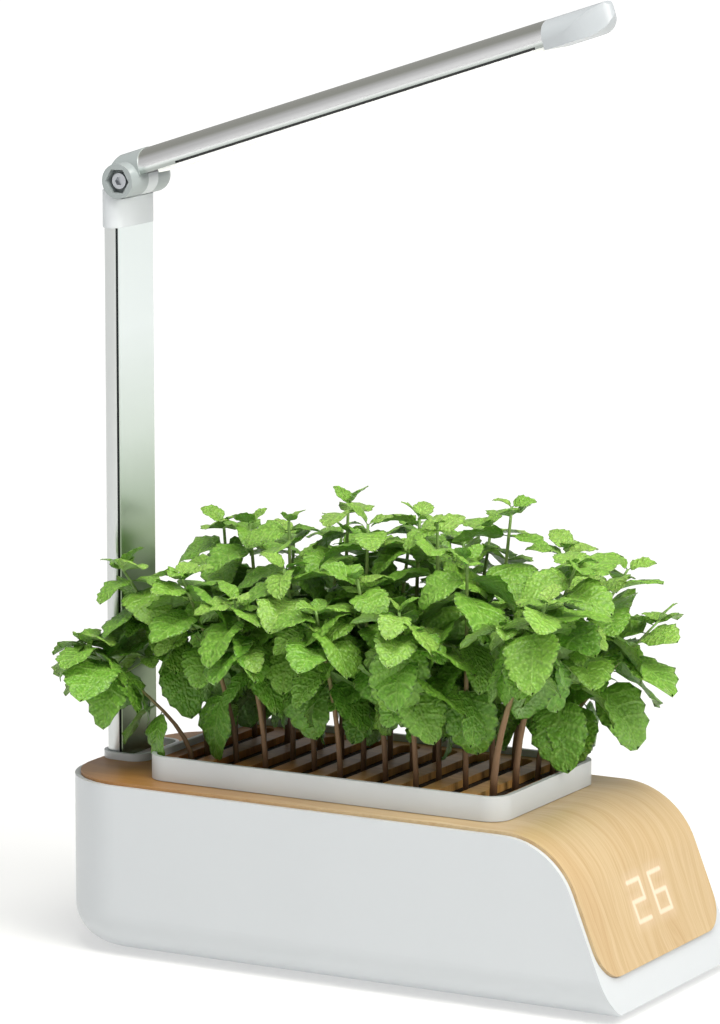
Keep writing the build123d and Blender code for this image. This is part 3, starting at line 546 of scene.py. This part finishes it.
def anodised(name, color, roughness, line_axis, line_strength):
    """Metal with die lines: noise squeezed along the extrusion and fine across it."""
    material, tree, shader = new_material(name, color, roughness, Metallic=1.0)
    lines = add_node(
        tree,
        "ShaderNodeTexNoise",
        {"Vector": place_of(tree, line_axis), "Scale": DIE_LINES_PER_MM, "Detail": 3.0},
    )
    bump(tree, shader, lines.outputs["Fac"], line_strength, DIE_LINE_DEPTH)
    return material, tree


up_post = (1, 1, POST_STRETCH)
post_metal, post_tree = anodised("satin_anodised_post", "#CDD0CF", 0.32, up_post, 0.12)
arm_metal, arm_tree = anodised("satin_anodised_arm", "#ECEEEB", 0.26, (ARM_STRETCH, 1, 1), 0.08)
bright_metal, strip_tree = anodised("bright_dipped_strip", "#E6EDEB", 0.3, up_post, 0.02)
zinc_steel = anodised("zinc_plated_steel", "#B9BCC0", 0.28, (1, 1, 1), 0.05)[0]

post_place = split_place(post_tree)
off_middle = math_node(post_tree, "ABSOLUTE", post_place["Y"])
off_groove = math_node(
    post_tree, "ABSOLUTE", math_node(post_tree, "SUBTRACT", off_middle, GROOVE_MM)
)
in_groove = math_node(post_tree, "LESS_THAN", off_groove, GROOVE_HALF_MM)
on_front = math_node(post_tree, "GREATER_THAN", post_place["X"], POST_FRONT_MM)
# Painted shade: the groove beside the strip is painted near black, for the shade in the gap.
painted_groove_shade = math_node(post_tree, "MULTIPLY", in_groove, on_front)
paint(post_metal, mixed(post_tree, painted_groove_shade, "#CDD0CF", "#2A2C2D"))
finish_node("post_tube", post_metal)

# Painted reflection: the strip's colour grades with height, green-grey low down, nearly white above.
height_share = math_node(strip_tree, "DIVIDE", split_place(strip_tree)["Z"], STRIP_TOP_MM)
paint(bright_metal, ramp(strip_tree, height_share, STRIP_PAINTED_REFLECTION_STOPS))
finish_node("post_front_strip", bright_metal)

# Painted reflection and shade: the arm's colour grades across its height, square to its length.
arm_place = split_place(arm_tree)
off_hinge_z = math_node(arm_tree, "SUBTRACT", arm_place["Z"], HINGE_Z_MM)
off_hinge_x = math_node(arm_tree, "SUBTRACT", arm_place["X"], HINGE_X_MM)
up_arm = math_node(
    arm_tree,
    "SUBTRACT",
    math_node(arm_tree, "MULTIPLY", off_hinge_z, math.cos(ARM_RISE)),
    math_node(arm_tree, "MULTIPLY", off_hinge_x, math.sin(ARM_RISE)),
)
arm_share = math_node(arm_tree, "DIVIDE", up_arm, ARM_HEIGHT_MM)
paint(arm_metal, ramp(arm_tree, arm_share, ARM_PAINTED_LIGHT_STOPS))
finish_node("arm_shell", arm_metal)
for name in ("hinge_bolt", "hinge_nut", "cover_screws", "bracket_screws"):
    finish_node(name, zinc_steel)


# %% [markdown]
# The small parts that hardly show still get their own finishes: moulded rubber for the feet, open
# foam for the root sponges, green solder mask on the boards, and a milky polycarbonate diffuser
# that glows a little, because the lamp is a light.

# %% Small parts
FOAM_CELL_MM = 1.5
FOAM_DEPTH = 0.0006
FOAM_STRENGTH = 0.8
LAMP_GLOW = 0.15

finish_node("rubber_feet", new_material("moulded_rubber", "#141414", 0.8)[0])
solder_mask = new_material("green_solder_mask", "#1E5A34", 0.4)[0]
for name in ("display_board", "control_board", "led_board"):
    finish_node(name, solder_mask)
foam, foam_tree, foam_shader = new_material("dark_growing_sponge", "#2A1F14", 0.95)
cells = add_node(
    foam_tree,
    "ShaderNodeTexVoronoi",
    {"Vector": place_of(foam_tree), "Scale": 1 / FOAM_CELL_MM},
).outputs["Distance"]
paint(foam, ramp(foam_tree, cells, [(0.1, "#120C07"), (0.6, "#3A2A1A")]))
bump(foam_tree, foam_shader, cells, FOAM_STRENGTH, FOAM_DEPTH)
finish_node("root_sponges", foam)
milky, _, milky_shader = new_material("milky_polycarbonate", "#F6F7F2", 0.45, IOR=1.58)
milky_shader.inputs["Emission Color"].default_value = linear("#FFFFFF")
milky_shader.inputs["Emission Strength"].default_value = LAMP_GLOW
finish_node("light_diffuser", milky)
finish_node("led_chips", new_material("led_phosphor", "#F2DE8A", 0.4)[0])
finish_node("display_module", new_material("display_window", "#F7E3D2", 0.4)[0])


# %% [markdown]
# Mint grows in crossed pairs: two leaves face each other at each joint of the stem, and the next
# pair stands at right angles to it. Short side shoots end in a tuft of small leaves. The stems and
# the bowed line of each are the same as in the CAD model, so the rendered plants fill the solid
# ones, with more and smaller leaves than there.

# %% Plan of the mint
TRAY_X = -11.8
SLOT_COUNT = 9
SLOT_PITCH = 22.6
SLOT_REACH = 41.7
STEM_FOOT_Z = 100.8
GOLDEN_TURN = 137.5
LEAF_LENGTH = 38.0
# Height over a stem's foot where its lowest leaves grow: on the near side of the tray, on the
# far side, and on the two woody stems near the nose
BARE_STEM_MM = {"near": 56.0, "far": 40.0}
BARER_STEMS_MM = {25: 78.0, 26: 74.0}
NEAR_SIDE_SHARE = -0.3
# The least and the largest share of a stem that is bare
BARE_SHARES = (0.3, 0.7)
# Share of the leafy part of the stem, rise of the blade in degrees, share of the leaf length
LEAF_LEVELS = [
    (0.0, -36, 0.84),
    (0.2, -28, 1.0),
    (0.39, -18, 1.06),
    (0.56, -9, 1.06),
    (0.72, 0, 1.0),
    (0.85, 10, 0.84),
    (0.95, 24, 0.62),
    (1.0, 44, 0.4),
]
# Side shoots: share of the leafy part, length of the shoot in mm
SHOOT_LEVELS = [(0.14, 17.0), (0.44, 15.0)]
SHOOT_TURN = 40
SHOOT_TURN_SPREAD = 30
SHOOT_RISES = (25, 50)
# Leaves at the end of a shoot: turn in degrees, rise, share of the leaf length
SHOOT_LEAVES = [(0, -8, 0.62), (180, 14, 0.56), (90, 18, 0.5), (270, 2, 0.46), (45, 50, 0.26)]
# Leaves that hang low on the near side: stem number, share of the stem, azimuth, rise, share of
# the leaf length
LOW_LEAVES = [
    (4, 0.40, -120, -62, 1.05),
    (4, 0.34, 150, -48, 0.8),
    (10, 0.50, -60, -52, 1.0),
    (10, 0.42, -150, -30, 0.7),
    (19, 0.85, -70, -60, 1.12),
    (19, 0.60, -20, -50, 0.92),
    (22, 0.45, -50, -52, 1.0),
    (27, 0.40, -60, -48, 1.1),
    (27, 0.33, -10, -40, 0.9),
    (0, 0.45, -100, -50, 0.8),
    (0, 0.50, -170, -30, 0.8),
]
# The age of a leaf runs from 0, old and dark, to 1 at the tip of a stem. The age of the low
# leaves also marks them as placed one by one.
SHOOT_AGE = 0.8
LOW_AGE = 0.1
# Stems: slot counted from the post, share across the tray, lean along X and Y in mm, height in mm
MINT_STEMS = [
    (0, -0.8, -56, -20, 64),
    (0, -0.4, -40, -22, 104),
    (0, 0.3, -14, 12, 121),
    (0, 0.8, -34, 24, 92),
    (1, -0.6, -22, -20, 104),
    (1, 0.1, -12, 6, 124),
    (1, 0.7, -8, 22, 112),
    (2, -0.8, -6, -22, 96),
    (2, -0.1, 0, -4, 131),
    (2, 0.6, 4, 18, 120),
    (3, -0.5, -8, -18, 112),
    (3, 0.2, 2, 4, 139),
    (3, 0.8, -4, 20, 112),
    (4, -0.8, 0, -26, 96),
    (4, -0.2, 6, -6, 135),
    (4, 0.5, 4, 16, 126),
    (5, -0.6, -6, -20, 112),
    (5, 0.1, 2, 4, 137),
    (5, 0.7, 6, 22, 118),
    (6, -0.8, 4, -26, 100),
    (6, -0.2, 2, -6, 139),
    (6, 0.5, 8, 14, 131),
    (7, -0.5, 10, -18, 127),
    (7, 0.2, 8, 6, 146),
    (7, 0.8, 20, 22, 118),
    (8, -0.8, 42, -22, 112),
    (8, -0.2, 40, -10, 126),
    (8, 0.4, 46, 12, 116),
    (8, 0.8, 50, 24, 84),
]


def stem_points(stem, shares):
    """The foot plus the lean times s * s * (1.6 - 0.6 s), and the height times s, as an array."""
    slot, side_share, lean_x, lean_y, height = stem
    shares = np.asarray(shares, float)
    out = shares ** 2 * (1.6 - 0.6 * shares)
    foot_x = TRAY_X + (slot - (SLOT_COUNT - 1) / 2) * SLOT_PITCH
    foot_y = side_share * SLOT_REACH
    points = [foot_x + lean_x * out, foot_y + lean_y * out, STEM_FOOT_Z + height * shares]
    return np.stack(points, axis=-1)


print("stems:", len(MINT_STEMS), "leaves drawn low by hand:", len(LOW_LEAVES))


# %% [markdown]
# One function turns grids of points into a mesh. Its input is an array of many equal grids, so all
# leaves or all stems become one mesh in a single call, with no loop over vertices. A ring of
# columns that closes on itself makes a tube or a thin shell. Columns can be marked as sharp, which
# keeps the shading of a leaf's upper side apart from its under side.

# %% Grids to meshes
WELD_MM = 0.005


def grids_to_object(name, grids, material, uv=None, sharp=(), **shades):
    """Closed grids of shape (count, rows, columns, 3) in mm; quads join neighbours all round.

    Points that fall together at the ends are welded. Shades become point attributes.
    """
    count, rows, columns = grids.shape[:3]
    index = np.arange(count * rows * columns).reshape(count, rows, columns)
    ahead = np.roll(index, -1, axis=2)
    quads = np.stack([index[:, :-1], ahead[:, :-1], ahead[:, 1:], index[:, 1:]], axis=-1)
    quads = quads.reshape(-1, 4)
    mesh = bpy.data.meshes.new(name)
    mesh.vertices.add(grids.size // 3)
    mesh.vertices.foreach_set("co", (grids * MM).astype(np.float32).ravel())
    mesh.loops.add(quads.size)
    mesh.loops.foreach_set("vertex_index", quads.astype(np.int32).ravel())
    mesh.polygons.add(len(quads))
    mesh.polygons.foreach_set("loop_start", np.arange(0, quads.size, 4, dtype=np.int32))
    mesh.polygons.foreach_set("use_smooth", np.ones(len(quads), dtype=bool))
    if uv is not None:
        layer = mesh.uv_layers.new(name="surface")
        layer.data.foreach_set("uv", uv.reshape(-1, 2)[quads.ravel()].astype(np.float32).ravel())
    for shade, values in shades.items():
        layer = mesh.attributes.new(shade, "FLOAT", "POINT")
        values = np.broadcast_to(values, (count, rows, columns))
        layer.data.foreach_set("value", values.astype(np.float32).ravel())
    mesh.materials.append(material)
    mesh.update(calc_edges=True)
    if sharp:
        ends = np.empty(len(mesh.edges) * 2, dtype=np.int32)
        mesh.edges.foreach_get("vertices", ends)
        column = ends.reshape(-1, 2) % columns
        marked = np.isin(column, sharp).all(axis=1) & (column[:, 0] == column[:, 1])
        mesh.edges.foreach_set("use_edge_sharp", marked)
    weld = bmesh.new()
    weld.from_mesh(mesh)
    bmesh.ops.remove_doubles(weld, verts=weld.verts, dist=WELD_MM * MM)
    weld.to_mesh(mesh)
    weld.free()
    made = bpy.data.objects.new(name, mesh)
    bpy.context.scene.collection.objects.link(made)
    print(name, "has", len(mesh.polygons), "faces")
    return made


# %% [markdown]
# A mint leaf is a broad oval on a short stalk, with a short tip and rounded teeth. It folds a
# little along its midrib, waves along its rims, and arches so that its tip hangs. Each leaf is a
# thin closed shell: five points across its upper side and one under the midrib. Each gets its own
# length, tilt, roll, arch and wave from a seeded generator, so no two are alike.

# %% Leaf blades
LEAF_ROWS = 13
# Places of the columns across the half width, the last one under the midrib
BLADE_ACROSS = np.array([-1, -0.55, 0, 0.55, 1, 0])
UNDER_COLUMN = np.array([0, 0, 0, 0, 0, 1.0])
RIM_COLUMNS = (0, 4)
LEAF_WIDTH_SHARE = 0.74
LEAF_THICKNESS = 0.5
STALK_SHARE = 0.1
STALK_WIDTH_SHARE = 0.012
# The outline's powers towards the stalk and towards the tip, and where it is widest
STALK_POWER = 0.45
TIP_POWER = 0.72
WIDEST_AT = 0.385
# Teeth as a share of the half width; they start past this share of the blade
TOOTH_SHARE = 0.045
TOOTH_START = 0.04
TOOTH_FORWARD = 0.4
TOOTH_SHARPNESS = 4
# The blade's arch across, its waves along the rim, and how far the rims fall back
FOLD_ARCH = 0.75
RIM_WAVES = 1.9
RIM_WAVE_SHARE = 0.10
RIM_BACK_SHARE = 0.10
# How far leaves differ: turn, rise in degrees, share of length, roll, droop and fold in radians
TURN_SPREAD = 26
RISE_SPREAD = 18
LENGTH_SHARES = (0.74, 1.14)
ROLL_SPREAD = 0.5
DROOPS = (0.4, 1.2)
FOLDS = (0.15, 0.55)
LEAST_SHRINK = 0.3
AGE_TONE = 0.55
TONE_SPREAD = 0.45
# Columns of the table of leaves after the base point's three
AZIMUTH, RISE, LENGTH, AGE = 3, 4, 5, 6
SEED = 26
seeded = np.random.default_rng(SEED)


def shoot_direction(azimuth, rise):
    """The unit vector that points along an azimuth and a rise, both in degrees."""
    around, up = np.radians(azimuth), np.radians(rise)
    return np.array([np.cos(up) * np.cos(around), np.cos(up) * np.sin(around), np.sin(up)])


def leaf_frames():
    """Base point, azimuth, rise, length and age of every leaf, and both ends of every shoot."""
    rows, shoots = [], []
    for number, stem in enumerate(MINT_STEMS):
        turn = number * GOLDEN_TURN
        bare = BARE_STEM_MM["near" if stem[1] < NEAR_SIDE_SHARE else "far"]
        lowest = np.clip(BARER_STEMS_MM.get(number, bare) / stem[4], *BARE_SHARES)
        for level, (step, rise, size) in enumerate(LEAF_LEVELS):
            share = lowest + (1 - lowest) * step
            for side in (0, 180):
                azimuth = turn + level * 90 + side
                rows.append((*stem_points(stem, share), azimuth, rise, LEAF_LENGTH * size, step))
        for level, (step, reach) in enumerate(SHOOT_LEVELS):
            start = stem_points(stem, lowest + (1 - lowest) * step)
            spread = seeded.uniform(-SHOOT_TURN_SPREAD, SHOOT_TURN_SPREAD)
            azimuth = turn + level * 180 + spread + SHOOT_TURN
            end = start + reach * shoot_direction(azimuth, seeded.uniform(*SHOOT_RISES))
            shoots.append((start, end))
            for spin, rise, size in SHOOT_LEAVES:
                rows.append((*end, azimuth + spin, rise, LEAF_LENGTH * size, SHOOT_AGE))
    for number, share, azimuth, rise, size in LOW_LEAVES:
        start = stem_points(MINT_STEMS[number], share)
        rows.append((*start, azimuth, rise, LEAF_LENGTH * size, LOW_AGE))
    return np.array(rows), np.array(shoots)


def leaf_grids(frames, droop, fold, wave):
    """Blades on a grid: t runs along the leaf and v across it, with a last column underneath.

    Past the stalk the half width is s ** 0.45 * (1 - s) ** 0.72 over its largest value, where s is
    the share of the blade. Teeth push every second row of the rim out. The midline turns down by
    droop * t, the sides lift by fold * (|v| - 0.75 * v * v), and a wave runs along the rims.
    """
    count = len(frames)
    t = np.linspace(0, 1, LEAF_ROWS)[None, :, None]
    v = BLADE_ACROSS[None, None, :]
    length = frames[:, LENGTH][:, None, None]
    blade = np.clip((t - STALK_SHARE) / (1 - STALK_SHARE), 0, 1)
    widest = WIDEST_AT ** STALK_POWER * (1 - WIDEST_AT) ** TIP_POWER
    half = blade ** STALK_POWER * (1 - blade) ** TIP_POWER / widest * LEAF_WIDTH_SHARE / 2
    half = np.maximum(half, STALK_WIDTH_SHARE * (1 - t))
    zigzag = np.where(np.arange(LEAF_ROWS) % 2 == 0, -TOOTH_SHARE, TOOTH_SHARE)[None, :, None]
    tooth = zigzag * np.abs(v) ** TOOTH_SHARPNESS * (blade > TOOTH_START)
    half = half * (1 + tooth)
    bend = droop[:, None, None] * t
    step = 1.0 / (LEAF_ROWS - 1)
    start = np.zeros((count, 1, 1))
    mid_x = np.concatenate([start, np.cumsum(np.cos(bend[:, 1:]), axis=1)], axis=1) * step
    mid_z = np.concatenate([start, np.cumsum(-np.sin(bend[:, 1:]), axis=1)], axis=1) * step
    lift = fold[:, None, None] * (np.abs(v) - FOLD_ARCH * v ** 2) * half * 2
    ripple = np.sin(2 * np.pi * (RIM_WAVES * t + wave[:, None, None]))
    lift = lift + RIM_WAVE_SHARE * half * ripple * v ** 3
    lift = lift - UNDER_COLUMN * LEAF_THICKNESS / length * (1 - t)
    forward = TOOTH_FORWARD * tooth - RIM_BACK_SHARE * np.abs(v) * half
    x = (mid_x + forward + lift * np.sin(bend)) * length
    y = v * half * length
    z = (mid_z + lift * np.cos(bend)) * length
    return np.stack(np.broadcast_arrays(x, y, z), axis=-1)


def turn_grids(grids, frames, roll):
    """Rolls each blade about its midline, raises it by its rise and turns it to its azimuth."""
    def rotate(points, first, second, angle):
        c, s = np.cos(angle)[:, None, None], np.sin(angle)[:, None, None]
        a, b = points[..., first].copy(), points[..., second].copy()
        points[..., first] = a * c - b * s
        points[..., second] = a * s + b * c

    placed = grids.copy()
    rotate(placed, 1, 2, roll)
    rotate(placed, 0, 2, np.radians(frames[:, RISE]))
    rotate(placed, 0, 1, np.radians(frames[:, AZIMUTH]))
    return placed + frames[:, None, None, :3]


def kept_in_box(grids, bases, low, high):
    """Shrinks each leaf towards its base until it stays in the CAD piece's box, given in metres.

    The factor is the room from the base to the box over the leaf's own reach, for each axis and
    direction, and the smallest of these and 1 is taken.
    """
    low, high = np.array(low) / MM, np.array(high) / MM
    reach_up = grids.max(axis=(1, 2)) - bases
    reach_down = bases - grids.min(axis=(1, 2))
    room = np.concatenate([(high - bases) / reach_up, (bases - low) / reach_down], axis=1)
    factor = np.clip(room.min(axis=1), LEAST_SHRINK, 1.0)[:, None, None, None]
    start = bases[:, None, None, :]
    return start + (grids - start) * factor


frames, shoots = leaf_frames()
count = len(frames)
placed_low = frames[:, AGE] == LOW_AGE
frames[:, AZIMUTH] += np.where(placed_low, 0, seeded.uniform(-TURN_SPREAD, TURN_SPREAD, count))
frames[:, RISE] += np.where(placed_low, 0, seeded.uniform(-RISE_SPREAD, RISE_SPREAD, count))
frames[:, LENGTH] *= np.where(placed_low, 1, seeded.uniform(*LENGTH_SHARES, count))
roll = seeded.uniform(-ROLL_SPREAD, ROLL_SPREAD, count)
droop = seeded.uniform(*DROOPS, count)
fold = seeded.uniform(*FOLDS, count)
wave = seeded.uniform(0, 1, count)
blades = turn_grids(leaf_grids(frames, droop, fold, wave), frames, roll)
blades = kept_in_box(blades, frames[:, :3], *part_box("mint_plants"))
along, across = np.linspace(0, 1, LEAF_ROWS)[:, None], (BLADE_ACROSS[None, :] + 1) / 2
blade_uv = np.stack(np.broadcast_arrays(along, across), axis=-1)
blade_uv = np.broadcast_to(blade_uv, (*blades.shape[:3], 2))
own_tone = seeded.uniform(0.0, TONE_SPREAD, count)
leaf_tone = np.clip(AGE_TONE * frames[:, AGE] + own_tone, 0, 1)
print("leaves:", count)


# %% [markdown]
# A leaf's colour follows its own surface: it reads the blade's UV map, where U runs along the
# midrib and V across. Its skin is quilted: small fields about two millimetres wide bulge between
# sunken lines, which are painted darker as shade. The midrib and the side veins are paler, and
# dark notches of painted shade part the teeth.
# Young leaves at the tips are a lighter, yellower green than old ones, and the under side is pale.

# %% Leaf finish
SIDE_VEINS = 6.0
# How far a side vein runs on towards the tip as it leaves the midrib
VEIN_SLANT = 0.42
# Slopes of a vein's sides, and how much lighter than the skin the veins are
SIDE_VEIN_STEEPNESS = 5.0
MIDRIB_STEEPNESS = 22.0
VEIN_PALENESS = 0.25
QUILT_MM = 1.8
QUILT_SMOOTHNESS = 0.35
QUILT_CONTRAST = 1.6
VALLEY_PAINTED_SHADE = 0.5
# Painted shade in notches between the teeth: where they start beside the midrib, how many, and their
# slopes
NOTCH_START = 0.43
NOTCH_COUNT = 12.0
NOTCH_STEEPNESS = 16.0
NOTCH_SHARPNESS = 2.6
UNDER_PALENESS = 0.6
RELIEF_STRENGTH = 0.8
RELIEF_DEPTH = 0.0009
# Light scatters a few millimetres inside a leaf, green light the furthest
LEAF_SCATTER = 0.16
LEAF_SCATTER_RADIUS = (0.002, 0.004, 0.001)
LEAF_SCATTER_SCALE = 0.4
LEAF_STOPS = [(0.0, "#69A033"), (0.35, "#7BB13B"), (0.7, "#8CBC46"), (1.0, "#AAD162")]

leaf_green, leaf_tree, leaf_shader = new_material("mint_leaf", "#6FA544", 0.42, IOR=1.45)
leaf_shader.inputs["Subsurface Weight"].default_value = LEAF_SCATTER
leaf_shader.inputs["Subsurface Radius"].default_value = LEAF_SCATTER_RADIUS
leaf_shader.inputs["Subsurface Scale"].default_value = LEAF_SCATTER_SCALE


def leaf_math(operation, first, second=0.0):
    """One arithmetic node in the leaf's tree."""
    return math_node(leaf_tree, operation, first, second)


surface = add_node(leaf_tree, "ShaderNodeUVMap", uv_map="surface").outputs["UV"]
surface_axes = add_node(leaf_tree, "ShaderNodeSeparateXYZ", {"Vector": surface}).outputs
along_leaf = surface_axes["X"]
off_midrib = leaf_math("ABSOLUTE", leaf_math("SUBTRACT", surface_axes["Y"], 0.5))
vein_line = leaf_math("SUBTRACT", along_leaf, leaf_math("MULTIPLY", off_midrib, VEIN_SLANT))
to_vein = leaf_math("PINGPONG", leaf_math("MULTIPLY", vein_line, SIDE_VEINS), 0.5)
side_vein = leaf_math("MINIMUM", leaf_math("MULTIPLY", to_vein, SIDE_VEIN_STEEPNESS), 1.0)
midrib = leaf_math("MINIMUM", leaf_math("MULTIPLY", off_midrib, MIDRIB_STEEPNESS), 1.0)
field = leaf_math("MINIMUM", side_vein, midrib)
quilt = add_node(
    leaf_tree,
    "ShaderNodeTexVoronoi",
    {"Vector": place_of(leaf_tree), "Scale": 1 / QUILT_MM, "Smoothness": QUILT_SMOOTHNESS},
    feature="SMOOTH_F1",
)
puff = leaf_math("SUBTRACT", 1.0, quilt.outputs["Distance"])
past_start = leaf_math("SUBTRACT", off_midrib, NOTCH_START)
near_rim = leaf_math("MAXIMUM", leaf_math("MULTIPLY", past_start, NOTCH_STEEPNESS), 0.0)
to_notch = leaf_math("PINGPONG", leaf_math("MULTIPLY", along_leaf, NOTCH_COUNT), 0.5)
# Painted shade: dark notches near the rim stand for the shaded gaps between the teeth.
painted_notch_shade = leaf_math(
    "MULTIPLY",
    leaf_math("MINIMUM", near_rim, 1.0),
    leaf_math("SUBTRACT", 1.0, leaf_math("MULTIPLY", to_notch, NOTCH_SHARPNESS)),
)
tone = add_node(leaf_tree, "ShaderNodeAttribute", attribute_name="tone").outputs["Fac"]
under = add_node(leaf_tree, "ShaderNodeAttribute", attribute_name="under").outputs["Fac"]
green = ramp(leaf_tree, tone, LEAF_STOPS)
# Painted shade: the sunken lines between the quilt's fields are mixed towards a dark green.
painted_valley_shade = mixed(leaf_tree, VALLEY_PAINTED_SHADE, green, "#265009")
quilt_painted_shade = mixed(leaf_tree, leaf_math("POWER", puff, QUILT_CONTRAST), painted_valley_shade, green)
vein_weight = leaf_math("MULTIPLY", leaf_math("SUBTRACT", 1.0, field), VEIN_PALENESS)
veined = mixed(leaf_tree, vein_weight, quilt_painted_shade, "#A9CE6E")
with_painted_notch_shade = mixed(leaf_tree, leaf_math("MAXIMUM", painted_notch_shade, 0.0), veined, "#16300D")
sides = mixed(leaf_tree, leaf_math("MULTIPLY", under, UNDER_PALENESS), with_painted_notch_shade, "#9DBB80")
paint(leaf_green, sides)
relief = leaf_math("ADD", leaf_math("MULTIPLY", field, 0.5), puff)
bump(leaf_tree, leaf_shader, relief, RELIEF_STRENGTH, RELIEF_DEPTH)
mint_leaves = grids_to_object(
    "mint_leaves",
    blades,
    leaf_green,
    uv=blade_uv,
    sharp=RIM_COLUMNS,
    tone=leaf_tone[:, None, None],
    under=UNDER_COLUMN[None, None, :],
)
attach(mint_leaves, "plant_insert")


# %% [markdown]
# The stems are thin tapered tubes along the bowed lines, brown and woody at the foot and green
# near the tip. A tube is a circle carried along the line: each ring lies in the horizontal plane,
# which is close enough for stems that stand nearly upright and for the thin shoots.

# %% Stems
STEM_ROWS = 12
STEM_SIDES = 8
STEM_RADIUS_FOOT = 1.6
STEM_RADIUS_TIP = 0.8
SHOOT_RADIUS = 0.7
# A shoot sags by a quarter of this in its middle
SHOOT_SAG_MM = 2.0
SHOOT_TONE = 0.75
# The old woody stems near the nose are thicker
WOODY_STEMS = {25: 2.2, 26: 2.0}
BARK_STOPS = [(0.0, "#6E5138"), (0.4, "#85694A"), (0.75, "#7C8A4C"), (1.0, "#7FA552")]


def tubes_along(lines, radius):
    """Rings around every line, with a radius for each; a ring of radius 0 closes its tube."""
    turn = np.linspace(0, 2 * np.pi, STEM_SIDES, endpoint=False)
    rings = np.stack([np.cos(turn), np.sin(turn), np.zeros_like(turn)], axis=-1)
    return lines[:, :, None, :] + radius[:, :, None, None] * rings[None, None]


def stem_tubes():
    """Tapered tubes along every stem, then along every side shoot, and the shares of their rings.

    The end rings are doubled: the outer one has radius 0.
    """
    shares = np.linspace(0, 1, STEM_ROWS - 2)
    shares = np.concatenate([[0], shares, [1]])
    closed = np.ones(STEM_ROWS)
    closed[[0, -1]] = 0
    lines = np.stack([stem_points(stem, shares) for stem in MINT_STEMS])
    foot = np.full(len(MINT_STEMS), STEM_RADIUS_FOOT)
    foot[list(WOODY_STEMS)] = list(WOODY_STEMS.values())
    radius = (foot[:, None] + (STEM_RADIUS_TIP - foot[:, None]) * shares) * closed
    start, end = shoots[:, 0], shoots[:, 1]
    sag = SHOOT_SAG_MM * shares * (shares - 1)
    twigs = start[:, None] + (end - start)[:, None] * shares[None, :, None]
    twigs[..., 2] += sag
    twig_radius = np.broadcast_to(SHOOT_RADIUS * closed, (len(shoots), STEM_ROWS))
    return np.concatenate([tubes_along(lines, radius), tubes_along(twigs, twig_radius)]), shares


stem_bark, bark_tree, _ = new_material("mint_stem", "#7A5B43", 0.6)
bark_tone = add_node(bark_tree, "ShaderNodeAttribute", attribute_name="tone").outputs["Fac"]
paint(stem_bark, ramp(bark_tree, bark_tone, BARK_STOPS))
tubes, tube_shares = stem_tubes()
foot_tone = np.where(np.arange(len(tubes)) < len(MINT_STEMS), 0.0, SHOOT_TONE)
stem_tone = foot_tone[:, None] + (1 - foot_tone)[:, None] * tube_shares[None]
mint_stems = grids_to_object("mint_stems", tubes, stem_bark, tone=stem_tone[:, :, None])
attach(mint_stems, "plant_insert")
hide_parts("mint_plants")
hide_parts("mint_plants")
